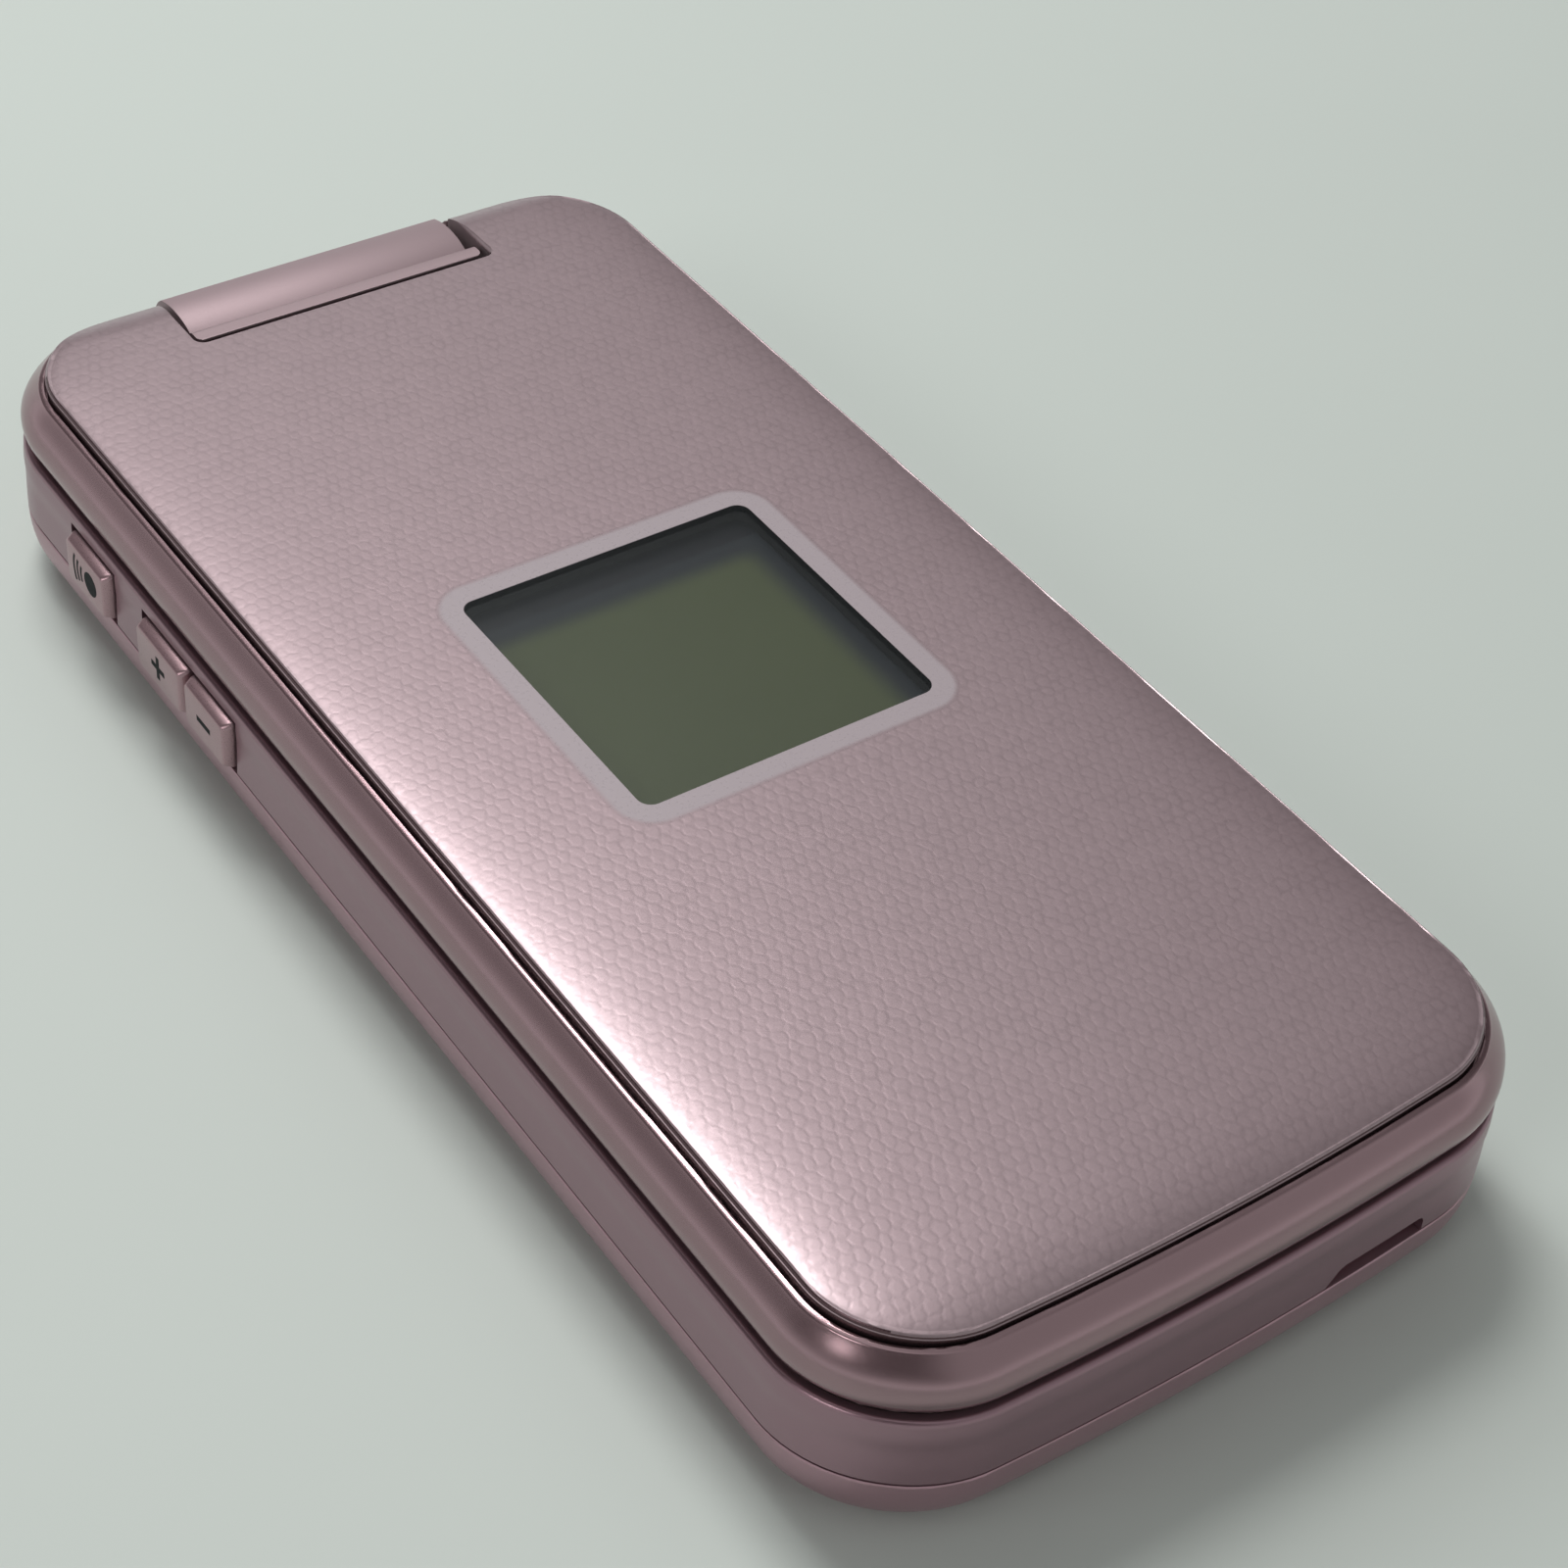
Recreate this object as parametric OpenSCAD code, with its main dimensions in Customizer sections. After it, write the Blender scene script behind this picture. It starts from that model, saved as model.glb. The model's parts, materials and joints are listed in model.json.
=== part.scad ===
// Folding mobile phone, closed and lying on its battery cover.
// X is its width, with the side keys towards -X. Y runs from the free end (-Y) to the hinge end (+Y).
// Z is up, with the origin in the middle of the flat back that the phone rests on.
// Every outline is the rim of the lid, moved outwards or inwards by an offset.

/* [Outline] */
// Width across the rim of the lid
rim_w = 48.8; // [46:0.1:52]
// Length along the rim of the lid
rim_l = 108.3; // [104:0.1:114]
// Corner radius of the rim at the free end
rim_r_free = 7.5; // [6:0.1:9]
// Corner radius of the rim at the hinge end
rim_r_hinge = 8.4; // [7:0.1:9]
// How far the middle of the free end bows out
end_bow = 1.1; // [0:0.1:1.5]

/* [Heights] */
// Height of the battery cover
cover_h = 5.2; // [4.8:0.1:6]
// Height of the middle case above the battery cover
case_h = 5.15; // [4.9:0.05:5.8]
// Step from the middle case's edge up to the key deck
deck_step = 0.3; // [0.2:0.05:0.5]
// Gap between the key deck and the closed lid
lid_gap = 0.4; // [0.3:0.05:0.6]
// Height of the lid frame, from its inner face to its rim
frame_h = 3.95; // [3.8:0.05:4.6]
// Height of the lid panel above the rim
panel_rise = 1.2; // [0.9:0.05:1.5]

/* [Walls] */
// Wall of the battery cover's floor
cover_floor = 1.0; // [0.8:0.1:1.2]
// Thickness of the middle case's floor plate
case_floor = 1.0; // [0.8:0.1:1.1]
// Thickness of the key deck
deck_t = 1.2; // [1:0.1:1.4]
// Thickness of the inner case of the lid
inner_case_t = 0.95; // [0.8:0.05:1.1]
// Thickness of the lid panel in the middle
panel_t = 1.3; // [1.1:0.05:1.5]
// How far the middle case bulges beyond the rim
case_bulge = 1.9; // [1.6:0.05:2.2]
// Radius of the lid frame's rounded side
frame_side_r = 2.18; // [2:0.02:2.4]
// Groove between the lid panel and the rim
panel_groove = 0.3; // [0.2:0.05:0.5]
// Fitting gap between parts that are fixed together
fit_gap = 0.05; // [0.02:0.01:0.1]
// Running gap between parts that move past each other
run_gap = 0.35; // [0.3:0.05:0.5]

/* [Hinge] */
// Distance from the hinge end of the rim to the hinge axis
hinge_in = 3.1; // [2.8:0.1:3.4]
// Radius of the hinge barrel
barrel_r = 5.15; // [5:0.05:5.25]
// Half the length of the hinge barrel
barrel_half = 11.65; // [10:0.05:14]
// How far the barrel's lip reaches past each end of the barrel
lip_wing = 0.3; // [0.2:0.05:0.5]
// Length of the lip ahead of the hinge axis
lip_l = 3.55; // [3.2:0.05:3.9]
// Gap between the lip and the edge of the lid's notch
notch_gap = 0.6; // [0.4:0.05:0.7]
// Gap between each end of the lip and the side of the lid's notch
notch_side = 0.4; // [0.3:0.05:0.5]
// Radius of the barrel's rounded upper shoulder
shoulder_r = 3.0; // [2.5:0.1:3.2]
// How far the middle of the shoulder lies behind and above the hinge axis
shoulder_out = 1.9; // [1.6:0.05:2]
// Radius of the lid's knuckles and rounded hinge end
knuckle_r = 5.4; // [5.3:0.05:5.5]
// Radius of the click unit in the barrel
click_r = 3.1; // [2.8:0.05:3.4]
// Gap between the click unit and the pivot bush
click_gap = 0.8; // [0.5:0.1:1.5]
// Radius of the drive shaft of the click unit
shaft_r = 1.5; // [1.2:0.05:1.8]
// Outer radius of the hollow pivot bush
bush_r = 2.5; // [2.2:0.05:2.8]
// Radial clearance of a shaft that turns in its bore
bore_gap = 0.05; // [0.03:0.01:0.1]

/* [Number keys] */
// Gap between the outer number keys and the side of the rim
key_side = 3.3; // [3:0.1:4]
// Gap between two number keys in a row
key_gap_x = 1.3; // [1.2:0.05:1.6]
// Length of a number key
key_l = 7.6; // [6.6:0.1:8]
// Gap between two rows of number keys
key_gap_y = 1.4; // [1.2:0.05:1.6]
// Distance from the free end of the rim to the first key row
key_margin = 9.3; // [9:0.1:9.8]
// How far a key stands above the deck
key_proud = 0.15; // [0.05:0.05:0.2]
// Travel of a key
key_travel = 0.25; // [0.15:0.01:0.28]
// Flange that holds a key under the deck
key_flange = 0.5; // [0.4:0.05:0.55]

/* [Navigation keys] */
// Gap between the last number row and the call key row
call_gap = 1.9; // [1.6:0.05:2.4]
// Gap between the call key row and the navigation ring
nav_gap = 4.4; // [3:0.1:5.4]
// Outer radius of the navigation ring
nav_r = 11.8; // [11:0.1:12]
// Radius of the centre key
centre_r = 4.4; // [4:0.1:5]
// Width of a soft key
soft_w = 8.0; // [7:0.1:8.2]
// Length of a soft key
soft_l = 7.4; // [7:0.1:8.4]
// Gap between a soft key and the side of the rim
soft_side = 1.5; // [1.3:0.05:1.8]
// Distance of a soft key from the middle of the ring along the phone
soft_y = 7.2; // [6.8:0.1:7.6]

/* [Side keys] */
// Height of a side key
side_key_h = 3.9; // [3.4:0.1:4]
// Length of the voice key
voice_key_l = 6.1; // [5.5:0.1:6.6]
// Length of the upper volume key
volume_up_l = 6.7; // [6:0.1:7]
// Length of the lower volume key
volume_down_l = 5.9; // [5.5:0.1:6.4]
// How far a side key stands out of the case
side_key_proud = 0.7; // [0.5:0.05:1]
// Distance from the hinge axis to the middle of the voice key
voice_key_in = 14.35; // [13.5:0.05:15]
// Distance from the middle of the voice key to the gap between the volume keys
volume_pair_in = 14.85; // [14:0.05:15.4]
// Gap between the two volume keys
volume_split = 0.4; // [0.3:0.05:0.5]

/* [Displays] */
// Side of the outer window's clear area
sub_view = 22.7; // [20:0.1:24]
// Width of the pale border round the clear area
sub_border = 1.9; // [1.4:0.1:2.4]
// Distance from the middle of the phone to the middle of the outer window
sub_y = 0.55; // [-4:0.05:4]
// Thickness of the outer window
sub_window_t = 0.8; // [0.6:0.05:0.9]
// Border of the lid's inner case beside the main window
window_side = 1.1; // [0.8:0.1:2.5]
// Length of the main window
main_window_l = 74; // [68:0.5:76]
// Thickness of the main window
main_window_t = 0.6; // [0.5:0.05:0.65]
// Thickness of the main display module
main_lcd_t = 1.15; // [1:0.05:1.2]

/* [Inside] */
// Width of the battery
battery_w = 34; // [30:0.5:36]
// Distance from the free end of the rim to the battery
battery_in = 15.3; // [14.8:0.1:18]
// Width of the memory card socket
card_w = 26; // [24:0.5:28]
// Length of the memory card socket
card_l = 7; // [6:0.5:9]
// Thickness of the main circuit board
board_t = 0.8; // [0.6:0.1:0.9]
// Width of the charging socket
usb_w = 7.5; // [7:0.1:8]
// Height of the charging socket
usb_h = 2.6; // [2.4:0.1:2.7]
// Length of the charging socket
usb_l = 5.4; // [5:0.1:5.8]
// Side of the camera module
camera_side = 9; // [8:0.1:9.4]
// Radius of the camera window
camera_r = 4.6; // [4:0.1:5]
// Radius of the loudspeaker
speaker_r = 6.5; // [5.5:0.1:7]
// Radius of a screw's shank
screw_r = 0.7; // [0.5:0.05:0.8]

/* [Hidden] */
$fn = 48;
corner_steps = 7;
end_steps = 6;
bow_reach = 25;
hair = 0.01;
far = 200;

rim_x = rim_w / 2;
rim_y = rim_l / 2;

// Heights of the base
case_z = cover_h;
bay_roof_z = case_z;
floor_z = bay_roof_z + case_floor;
case_top_z = case_z + case_h;
deck_z = case_top_z + deck_step;
deck_bottom_z = deck_z - deck_t;
key_top_z = deck_z + key_proud;
board_z = floor_z + fit_gap;
dome_z = board_z + board_t + 0.1;
dome_t = 0.25;
key_z = dome_z + dome_t + key_travel + 0.05;
flange_top_z = deck_bottom_z - 0.15;

// Heights of the lid
lid_z = deck_z + lid_gap;
rim_z = lid_z + frame_h;
panel_z = rim_z + panel_rise;
ledge_z = rim_z - 1.1;
inner_top_z = lid_z + fit_gap + inner_case_t;
main_lcd_z = inner_top_z + fit_gap;
lid_board_z = main_lcd_z + main_lcd_t + fit_gap;
lid_board_t = 0.5;
sub_lcd_z = lid_board_z + lid_board_t + fit_gap;
sub_window_z = panel_z - 0.05 - sub_window_t;

// Offsets from the rim
wall_in = 0.4;
deck_out = 0.95;
frame_side_in = 0.45;
frame_side_z = lid_z + 1.43;
lid_wall_in = -1.5;
board_out = -1.5;
tub_out = 0.35;
tub_wall = 1.2;

// Hinge
hinge_y = rim_y - hinge_in;
hinge_z = deck_z + 0.05;
lip_half = barrel_half + lip_wing;
lip_r = sqrt(lip_l * lip_l + barrel_r * barrel_r);
notch_r = lip_r + notch_gap;
notch_half = lip_half + notch_side;
knuckle_end = rim_x + 0.1;
trough_r = knuckle_r + run_gap;
trough_half = knuckle_end + run_gap;
trough_start = lip_half + 0.15;
hinge_block_y = hinge_y - trough_r - 1.8;
rear_lip_z = case_z + 0.7;
shaft_in = 4;
shaft_key = 4.2;
shaft_key_l = 5;
bush_in = 2.4;
click_x0 = -barrel_half + bush_in + click_gap;
click_x1 = barrel_half - 0.2;
bush_out = 6;
bush_bore_r = bush_r - 0.8;
flex_r = bush_bore_r - run_gap - 0.05;
wing_y = hinge_y - 2.35;

// Key rows
key_pitch_x = (2 * (rim_x - key_side) + key_gap_x) / 3;
key_pitch_y = key_l + key_gap_y;
key_w = key_pitch_x - key_gap_x;
row_y = [for (k = [0:3]) -rim_y + key_margin + key_pitch_y * k];
call_y = row_y[3] + key_l + call_gap;
nav_y = call_y + key_l / 2 + nav_gap + nav_r;
soft_x = rim_x - soft_side - soft_w / 2;
key_corner = 1.6;
key_slot = 0.3;

// Side keys
side_x = rim_x + case_bulge;
side_key_z = case_z + 0.3;
side_pocket_x = side_x - 0.8;
side_wall_x = rim_x + wall_in;
voice_y = hinge_y - voice_key_in;
volume_y = voice_y - volume_pair_in;
volume_up_y = volume_y + (volume_up_l + volume_split) / 2;
volume_down_y = volume_y - (volume_down_l + volume_split) / 2;
side_stem = 2.6;
side_flange_t = 0.6;
switch_x = side_wall_x - run_gap - side_flange_t - key_travel - 0.1;
switch_l = 3.2;
switch_t = 1.6;
switch_top_z = key_z - key_travel - 0.15;

// Charging socket
usb_room = 1.25;
usb_y = nav_y + soft_y + soft_l / 2 + key_flange + usb_room + usb_w / 2;
usb_z = floor_z + fit_gap;
port_cover_l = usb_w + 2.4;
port_cover_h = 3.4;
port_cover_t = 0.6;
port_z = usb_z + usb_h / 2;
port_cover_in = 0.15;
port_hinge_at = [side_x - port_cover_in - port_cover_t / 2, usb_y + port_cover_l / 2 - port_cover_t / 2];
port_pin_r = 0.18;
port_pin_in = 0.15;

// Outer window
sub_side = sub_view + 2 * sub_border;
sub_corner = 3;
sub_view_corner = 1;

// Places of screws
lid_boss_r = 1.8;
case_boss_r = 1.5;
screw_head_r = 1.7 * screw_r;
boss_room = 0.7;
free_screw_x = rim_x - 2.3;
free_screw_y = -rim_y + 4.3;
hinge_screw_x = side_wall_x - usb_l - boss_room - case_boss_r;
hinge_screw_y = hinge_block_y - case_boss_r - 1.3;
case_screws_at = [
    [free_screw_x, free_screw_y],
    [-free_screw_x, free_screw_y],
    [hinge_screw_x, hinge_screw_y],
    [-hinge_screw_x, hinge_screw_y]
];
lid_free_screw_x = rim_x - 4.4;
lid_free_screw_y = -rim_y + 5.1;
lid_hinge_screw_x = rim_x - 3.1;
lid_hinge_screw_y = hinge_y - notch_r - 3.4;
lid_screws_at = [
    [lid_free_screw_x, lid_free_screw_y],
    [-lid_free_screw_x, lid_free_screw_y],
    [lid_hinge_screw_x, lid_hinge_screw_y],
    [-lid_hinge_screw_x, lid_hinge_screw_y]
];

// Places inside
speaker_at = [11.5, hinge_block_y - speaker_r - 2.1];
camera_at = [-11.3, hinge_block_y - camera_side / 2 - 3.5];
card_y1 = speaker_at.y - speaker_r - 8.25;
card_y0 = card_y1 - card_l;
card_t = 1.45;
battery_gap = 2;
battery_y0 = -rim_y + battery_in;
battery_l = card_y0 - battery_gap - battery_y0;
battery_y = battery_y0 + battery_l / 2;
bay_wall = 1.6;
bay_gap = 0.3;
contact_w = 1.6;
contact_h = 3;
contact_pitch = 4;
speaker_slot_w = 8;
speaker_slot_pitch = 1.9;
camera_lens_r = camera_r - 1.2;
camera_bore_r = 1.6;
camera_window_z = 0.9;
mic_at = [0, -rim_y + 3.4];
mic_l = 2.6;
motor_r = 1.9;
motor_l = 7;
antenna_w = 24;
antenna_l = 3.2;
antenna_x = -2;
antenna_y = -rim_y + 1.3;
shield_w = 24;
shield_room = 3;
dome_y0 = row_y[0] - key_l / 2 - key_flange;
dome_y1 = nav_y + nav_r + key_flange;

// Places in the lid
earpiece_w = 12;
earpiece_l = 5.4;
earpiece_at = [0, -rim_y + 7];
magnet_w = 5;
magnet_l = 3;
magnet_at = [11.5, -rim_y + 6.8];
bumper_w = 4.1;
bumper_l = 1.6;
bumper_x = rim_x - 8.4;
bumper_y = -rim_y + 3.1;
bumper_at = [bumper_x, bumper_y];
lid_bay_y = hinge_y - notch_r - 0.8;
main_window_w = 2 * (rim_x + lid_wall_in - window_side);
main_window_y = (earpiece_at.y + earpiece_l / 2 + lid_hinge_screw_y - lid_boss_r) / 2;
view_side = 2;
view_end = 3;

// ---- Outlines ----

function unit(v) = min(1, max(0, v));

function corner(cx, cy, r, start) =
    [for (k = [0:corner_steps])
        let (a = start + 90 * k / corner_steps)
        [cx + r * cos(a), cy + r * sin(a)]];

// The free end bows outwards, and the bow fades along the sides
function bowed(p) =
    [p.x, p.y + end_bow * pow(p.x / rim_x, 2) * unit((bow_reach - rim_y - p.y) / bow_reach)];

// The rim outline moved out by d
function plan(d) =
    let (
        w = rim_x + d,
        l = rim_y + d,
        rf = max(0.6, rim_r_free + d),
        rh = max(0.6, rim_r_hinge + d),
        points = concat(
            corner(w - rh, l - rh, rh, 0),
            corner(rh - w, l - rh, rh, 90),
            corner(rf - w, rf - l, rf, 180),
            [for (k = [1:end_steps - 1]) [(w - rf) * (2 * k / end_steps - 1), -l]],
            corner(w - rf, rf - l, rf, 270)
        )
    )
    [for (p = points) bowed(p)];

// A straight-sided solid on the outline at offset d
module prism(d, z0, z1) {
    translate([0, 0, z0])
        linear_extrude(z1 - z0)
            polygon(plan(d));
}

// A shell that passes through stations of [offset, height]
module loft(stations) {
    count = len(plan(0));
    last = len(stations) - 1;
    points = [for (s = stations) for (p = plan(s[0])) [p.x, p.y, s[1]]];
    sides = [for (i = [0:last - 1]) for (k = [0:count - 1])
        let (a = i * count + k, b = i * count + (k + 1) % count)
        each [[a, a + count, b], [b, a + count, b + count]]];
    bottom = [[for (k = [0:count - 1]) k]];
    top = [[for (k = [0:count - 1]) (last + 1) * count - 1 - k]];
    polyhedron(points = points, faces = concat(sides, bottom, top));
}

// ---- Small shapes ----

// A box between two corners
module block(low, high) {
    translate(low)
        cube(high - low);
}

// An upright plate with round corners, centred on a point
module pad(at, size, r, z0, z1) {
    w = size.x / 2 - r;
    l = size.y / 2 - r;
    translate([at.x, at.y, z0]) {
        linear_extrude(z1 - z0) {
            square([2 * w, size.y], center = true);
            square([size.x, 2 * l], center = true);
            for (x = [-w, w], y = [-l, l])
                translate([x, y])
                    circle(r);
        }
    }
}

module post(at, r, z0, z1) {
    translate([at.x, at.y, z0])
        cylinder(r = r, h = z1 - z0);
}

// A round bar along the hinge axis
module hinge_rod(r, x0, x1) {
    translate([x0, hinge_y, hinge_z])
        rotate([0, 90, 0])
            cylinder(r = r, h = x1 - x0);
}

// Everything on the free end's side of y
module ahead_of(y) {
    block([-far, -far, -far], [far, y, far]);
}

// ---- Shared cuts ----

// The lid's hinge end is round about the hinge axis
module lid_envelope() {
    block([-far, -far, -far], [far, hinge_y, far]);
    hinge_rod(knuckle_r, -far, far);
}

// Room in the lid for the hinge cover
module lid_notch() {
    hinge_rod(notch_r, -notch_half, notch_half);
    block([-notch_half, hinge_y, -far], [notch_half, far, far]);
}

// Room in the base for the knuckle on one side
module knuckle_trough() {
    hinge_rod(trough_r, trough_start, trough_half);
    block([trough_start, hinge_y, rear_lip_z], [trough_half, far, far]);
}

module both_sides() {
    children();
    mirror([1, 0, 0])
        children();
}

// Holes in the deck for every key
module key_openings() {
    z0 = deck_bottom_z - hair;
    z1 = deck_z + 1;
    for (row = row_y, x = [-key_pitch_x, 0, key_pitch_x])
        pad([x, row], [key_w, key_l] + 2 * [key_slot, key_slot], key_corner + key_slot, z0, z1);
    for (x = [-key_pitch_x, 0, key_pitch_x])
        pad([x, call_y], [key_w, key_l] + 2 * [key_slot, key_slot], key_corner + key_slot, z0, z1);
    for (sx = [-1, 1], sy = [-1, 1])
        pad([sx * soft_x, nav_y + sy * soft_y], [soft_w, soft_l] + 2 * [key_slot, key_slot],
            key_corner + key_slot, z0, z1);
    post([0, nav_y], nav_r + key_slot, z0, z1);
}

// ---- Base ----

module battery_cover() {
    color([0.62, 0.50, 0.53])
    difference() {
        loft([
            [case_bulge - 3.8, 0],
            [case_bulge - 2.6, 0.25],
            [case_bulge - 1.55, 0.9],
            [case_bulge - 0.75, 1.75],
            [case_bulge - 0.28, 2.75],
            [case_bulge - 0.05, 3.9],
            [case_bulge, cover_h - 0.08]
        ]);
        prism(tub_out + fit_gap, cover_floor + 0.8, far);
        prism(tub_out - 1, cover_floor, far);
        post(camera_at, camera_r + fit_gap, -1, far);
        for (k = [-2:2])
            pad(speaker_at + [0, speaker_slot_pitch * k], [speaker_slot_w - abs(k), 0.9], 0.4,
                -1, cover_floor + 1);
    }
}

module middle_case() {
    color([0.65, 0.52, 0.56])
    difference() {
        union() {
            loft([
                [case_bulge, case_z],
                [case_bulge - 0.05, case_z + 1.3],
                [case_bulge - 0.1, case_z + 2.8],
                [case_bulge - 0.06, case_z + 0.78 * case_h],
                [case_bulge - 0.14, case_top_z - 0.55],
                [case_bulge - 0.3, case_top_z - 0.2],
                [case_bulge - 0.55, case_top_z]
            ]);
            case_tub();
        }
        // Room above the floor plate, and the seat of the deck
        intersection() {
            prism(wall_in, floor_z, far);
            ahead_of(hinge_block_y);
        }
        intersection() {
            prism(deck_out, deck_bottom_z - fit_gap, far);
            ahead_of(hinge_block_y);
        }
        // Hinge
        hinge_rod(barrel_r + fit_gap, -trough_start, trough_start);
        block([-trough_start, hinge_y - lip_r - fit_gap, hinge_z],
            [trough_start, hinge_y, far]);
        both_sides()
            knuckle_trough();
        bush_room();
        // Side keys, charging socket and nail slot
        side_key_holes();
        port_holes();
        nail_slot();
        for (at = case_screws_at)
            post(at, screw_r + fit_gap, -far, far);
        for (at = case_screws_at)
            post(at, screw_head_r + 0.3, -far, bay_roof_z - fit_gap);
    }
    color([0.65, 0.52, 0.56])
        case_bosses();
}

// The hidden lower part of the middle case, with the battery bay
module case_tub() {
    difference() {
        prism(tub_out, cover_floor + 0.85, case_z + hair);
        intersection() {
            prism(tub_out - tub_wall, -far, bay_roof_z);
            ahead_of(hinge_block_y);
        }
    }
    difference() {
        pad([0, battery_y], [battery_w, battery_l] + 2 * [bay_wall, bay_wall], 1.5,
            cover_floor + 0.15, bay_roof_z + hair);
        pad([0, battery_y], [battery_w, battery_l] + 2 * [bay_gap, bay_gap], 0.8, -far, bay_roof_z);
    }
    intersection() {
        prism(tub_out - 1 - fit_gap, cover_floor + 0.1, case_z);
        block([-far, hinge_block_y, -far], [far, far, far]);
    }
}

module case_bosses() {
    for (at = case_screws_at)
        difference() {
            post(at, case_boss_r, floor_z - 0.2, deck_bottom_z - fit_gap);
            post(at, screw_r + fit_gap, -far, far);
        }
}

// One hole for a side key: a pocket for the cap and a slot for its stem
module side_key_hole(y0, y1) {
    block([-far, y0 - run_gap, case_z - 1],
        [-side_pocket_x, y1 + run_gap, side_key_z + side_key_h + run_gap]);
    block([-side_pocket_x - 1, y0 + 1, floor_z + 0.55], [-side_wall_x + 1, y1 - 1, floor_z + 2.45]);
}

module side_key_holes() {
    side_key_hole(voice_y - voice_key_l / 2, voice_y + voice_key_l / 2);
    side_key_hole(volume_down_y - volume_down_l / 2, volume_up_y + volume_up_l / 2);
}

module port_holes() {
    block([side_wall_x - 1, usb_y - usb_w / 2 - 0.3, usb_z - 0.2],
        [far, usb_y + usb_w / 2 + 0.3, usb_z + usb_h + 0.3]);
    block([side_pocket_x, usb_y - port_cover_l / 2 - run_gap, port_z - port_cover_h / 2 - run_gap],
        [far, usb_y + port_cover_l / 2 + run_gap, port_z + port_cover_h / 2 + run_gap]);
    post(port_hinge_at, port_pin_r + bore_gap, port_z - port_cover_h / 2 - run_gap - port_pin_in - fit_gap,
        port_z + port_cover_h / 2 + run_gap + port_pin_in + fit_gap);
}

// Slot for a fingernail above the edge of the battery cover
module nail_slot() {
    slot_x0 = 7.2;
    slot_x1 = 15.3;
    slot_h = 0.9;
    translate([0, -rim_y - 0.35, case_z - hair])
        rotate([90, 0, 0])
            linear_extrude(far)
                polygon([
                    [slot_x0, -1],
                    [slot_x1, -1],
                    [slot_x1, slot_h - 0.3],
                    [slot_x1 - 0.3, slot_h],
                    [slot_x0 + 1, slot_h],
                    [slot_x0, 0.15]
                ]);
}

module key_deck() {
    color([0.60, 0.48, 0.52])
    difference() {
        intersection() {
            prism(deck_out - fit_gap, deck_bottom_z, deck_z);
            ahead_of(hinge_block_y - fit_gap);
        }
        key_openings();
        for (at = case_screws_at)
            post(at, screw_r + fit_gap, -far, deck_z - 0.35);
        pad(mic_at, [2.4, 0.8], 0.35, -far, far);
    }
}

// The barrel and the flat lip ahead of it
module hinge_cover() {
    color([0.70, 0.58, 0.62])
    difference() {
        union() {
            hinge_rod(barrel_r, -barrel_half, barrel_half);
            barrel_shoulder();
            intersection() {
                hinge_rod(lip_r, -lip_half, lip_half);
                block([-far, -far, hinge_z + fit_gap], [far, wing_y, hinge_z + barrel_r]);
            }
            intersection() {
                hinge_rod(lip_r - fit_gap, -barrel_half, barrel_half);
                block([-far, wing_y - 1, hinge_z + fit_gap], [far, hinge_y, hinge_z + barrel_r]);
            }
        }
        hinge_rod(click_r + fit_gap, click_x0 - fit_gap, far);
        hinge_rod(bush_r + bore_gap, -far, -barrel_half + bush_in + 0.2);
        hinge_rod(flex_r + fit_gap, -far, click_x0);
    }
}

// The barrel is fuller towards its upper rear
module barrel_shoulder() {
    a = 10;
    middle = [shoulder_out, shoulder_out];
    translate([-barrel_half, hinge_y, hinge_z])
        rotate([90, 0, 90])
            linear_extrude(2 * barrel_half) {
                translate(middle)
                    circle(shoulder_r);
                polygon([
                    [0, 0],
                    barrel_r * [cos(a), sin(a)],
                    middle + shoulder_r * [cos(a), sin(a)],
                    middle + shoulder_r * [sin(a), cos(a)],
                    barrel_r * [sin(a), cos(a)]
                ]);
            }
}

module hinge_click_unit() {
    color([0.72, 0.72, 0.74])
    difference() {
        union() {
            hinge_rod(click_r, click_x0, click_x1);
            hinge_rod(click_r - 0.6, click_x1 - 0.05, barrel_half);
        }
        hinge_rod(shaft_r + bore_gap, barrel_half - shaft_in - 0.4, far);
    }
}

// The cable to the lid, rolled up inside the pivot bush
module hinge_flex() {
    color([0.80, 0.45, 0.15])
        hinge_rod(flex_r, -barrel_half - bush_out + 0.5, click_x0 - 0.3);
}

// Way for the bush from the barrel into the knuckle
module bush_room() {
    hinge_rod(bush_r + run_gap, -trough_half, -trough_start);
}

module battery() {
    color([0.20, 0.21, 0.24])
        pad([0, battery_y], [battery_w, battery_l], 1, cover_floor + 0.1, bay_roof_z - 0.2);
}

module battery_contacts() {
    color([0.85, 0.68, 0.30])
        for (x = [-contact_pitch, 0, contact_pitch])
            block([x - contact_w / 2, battery_y0 - bay_gap, bay_roof_z - contact_h],
                [x + contact_w / 2, battery_y0 - fit_gap, bay_roof_z]);
}

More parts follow.
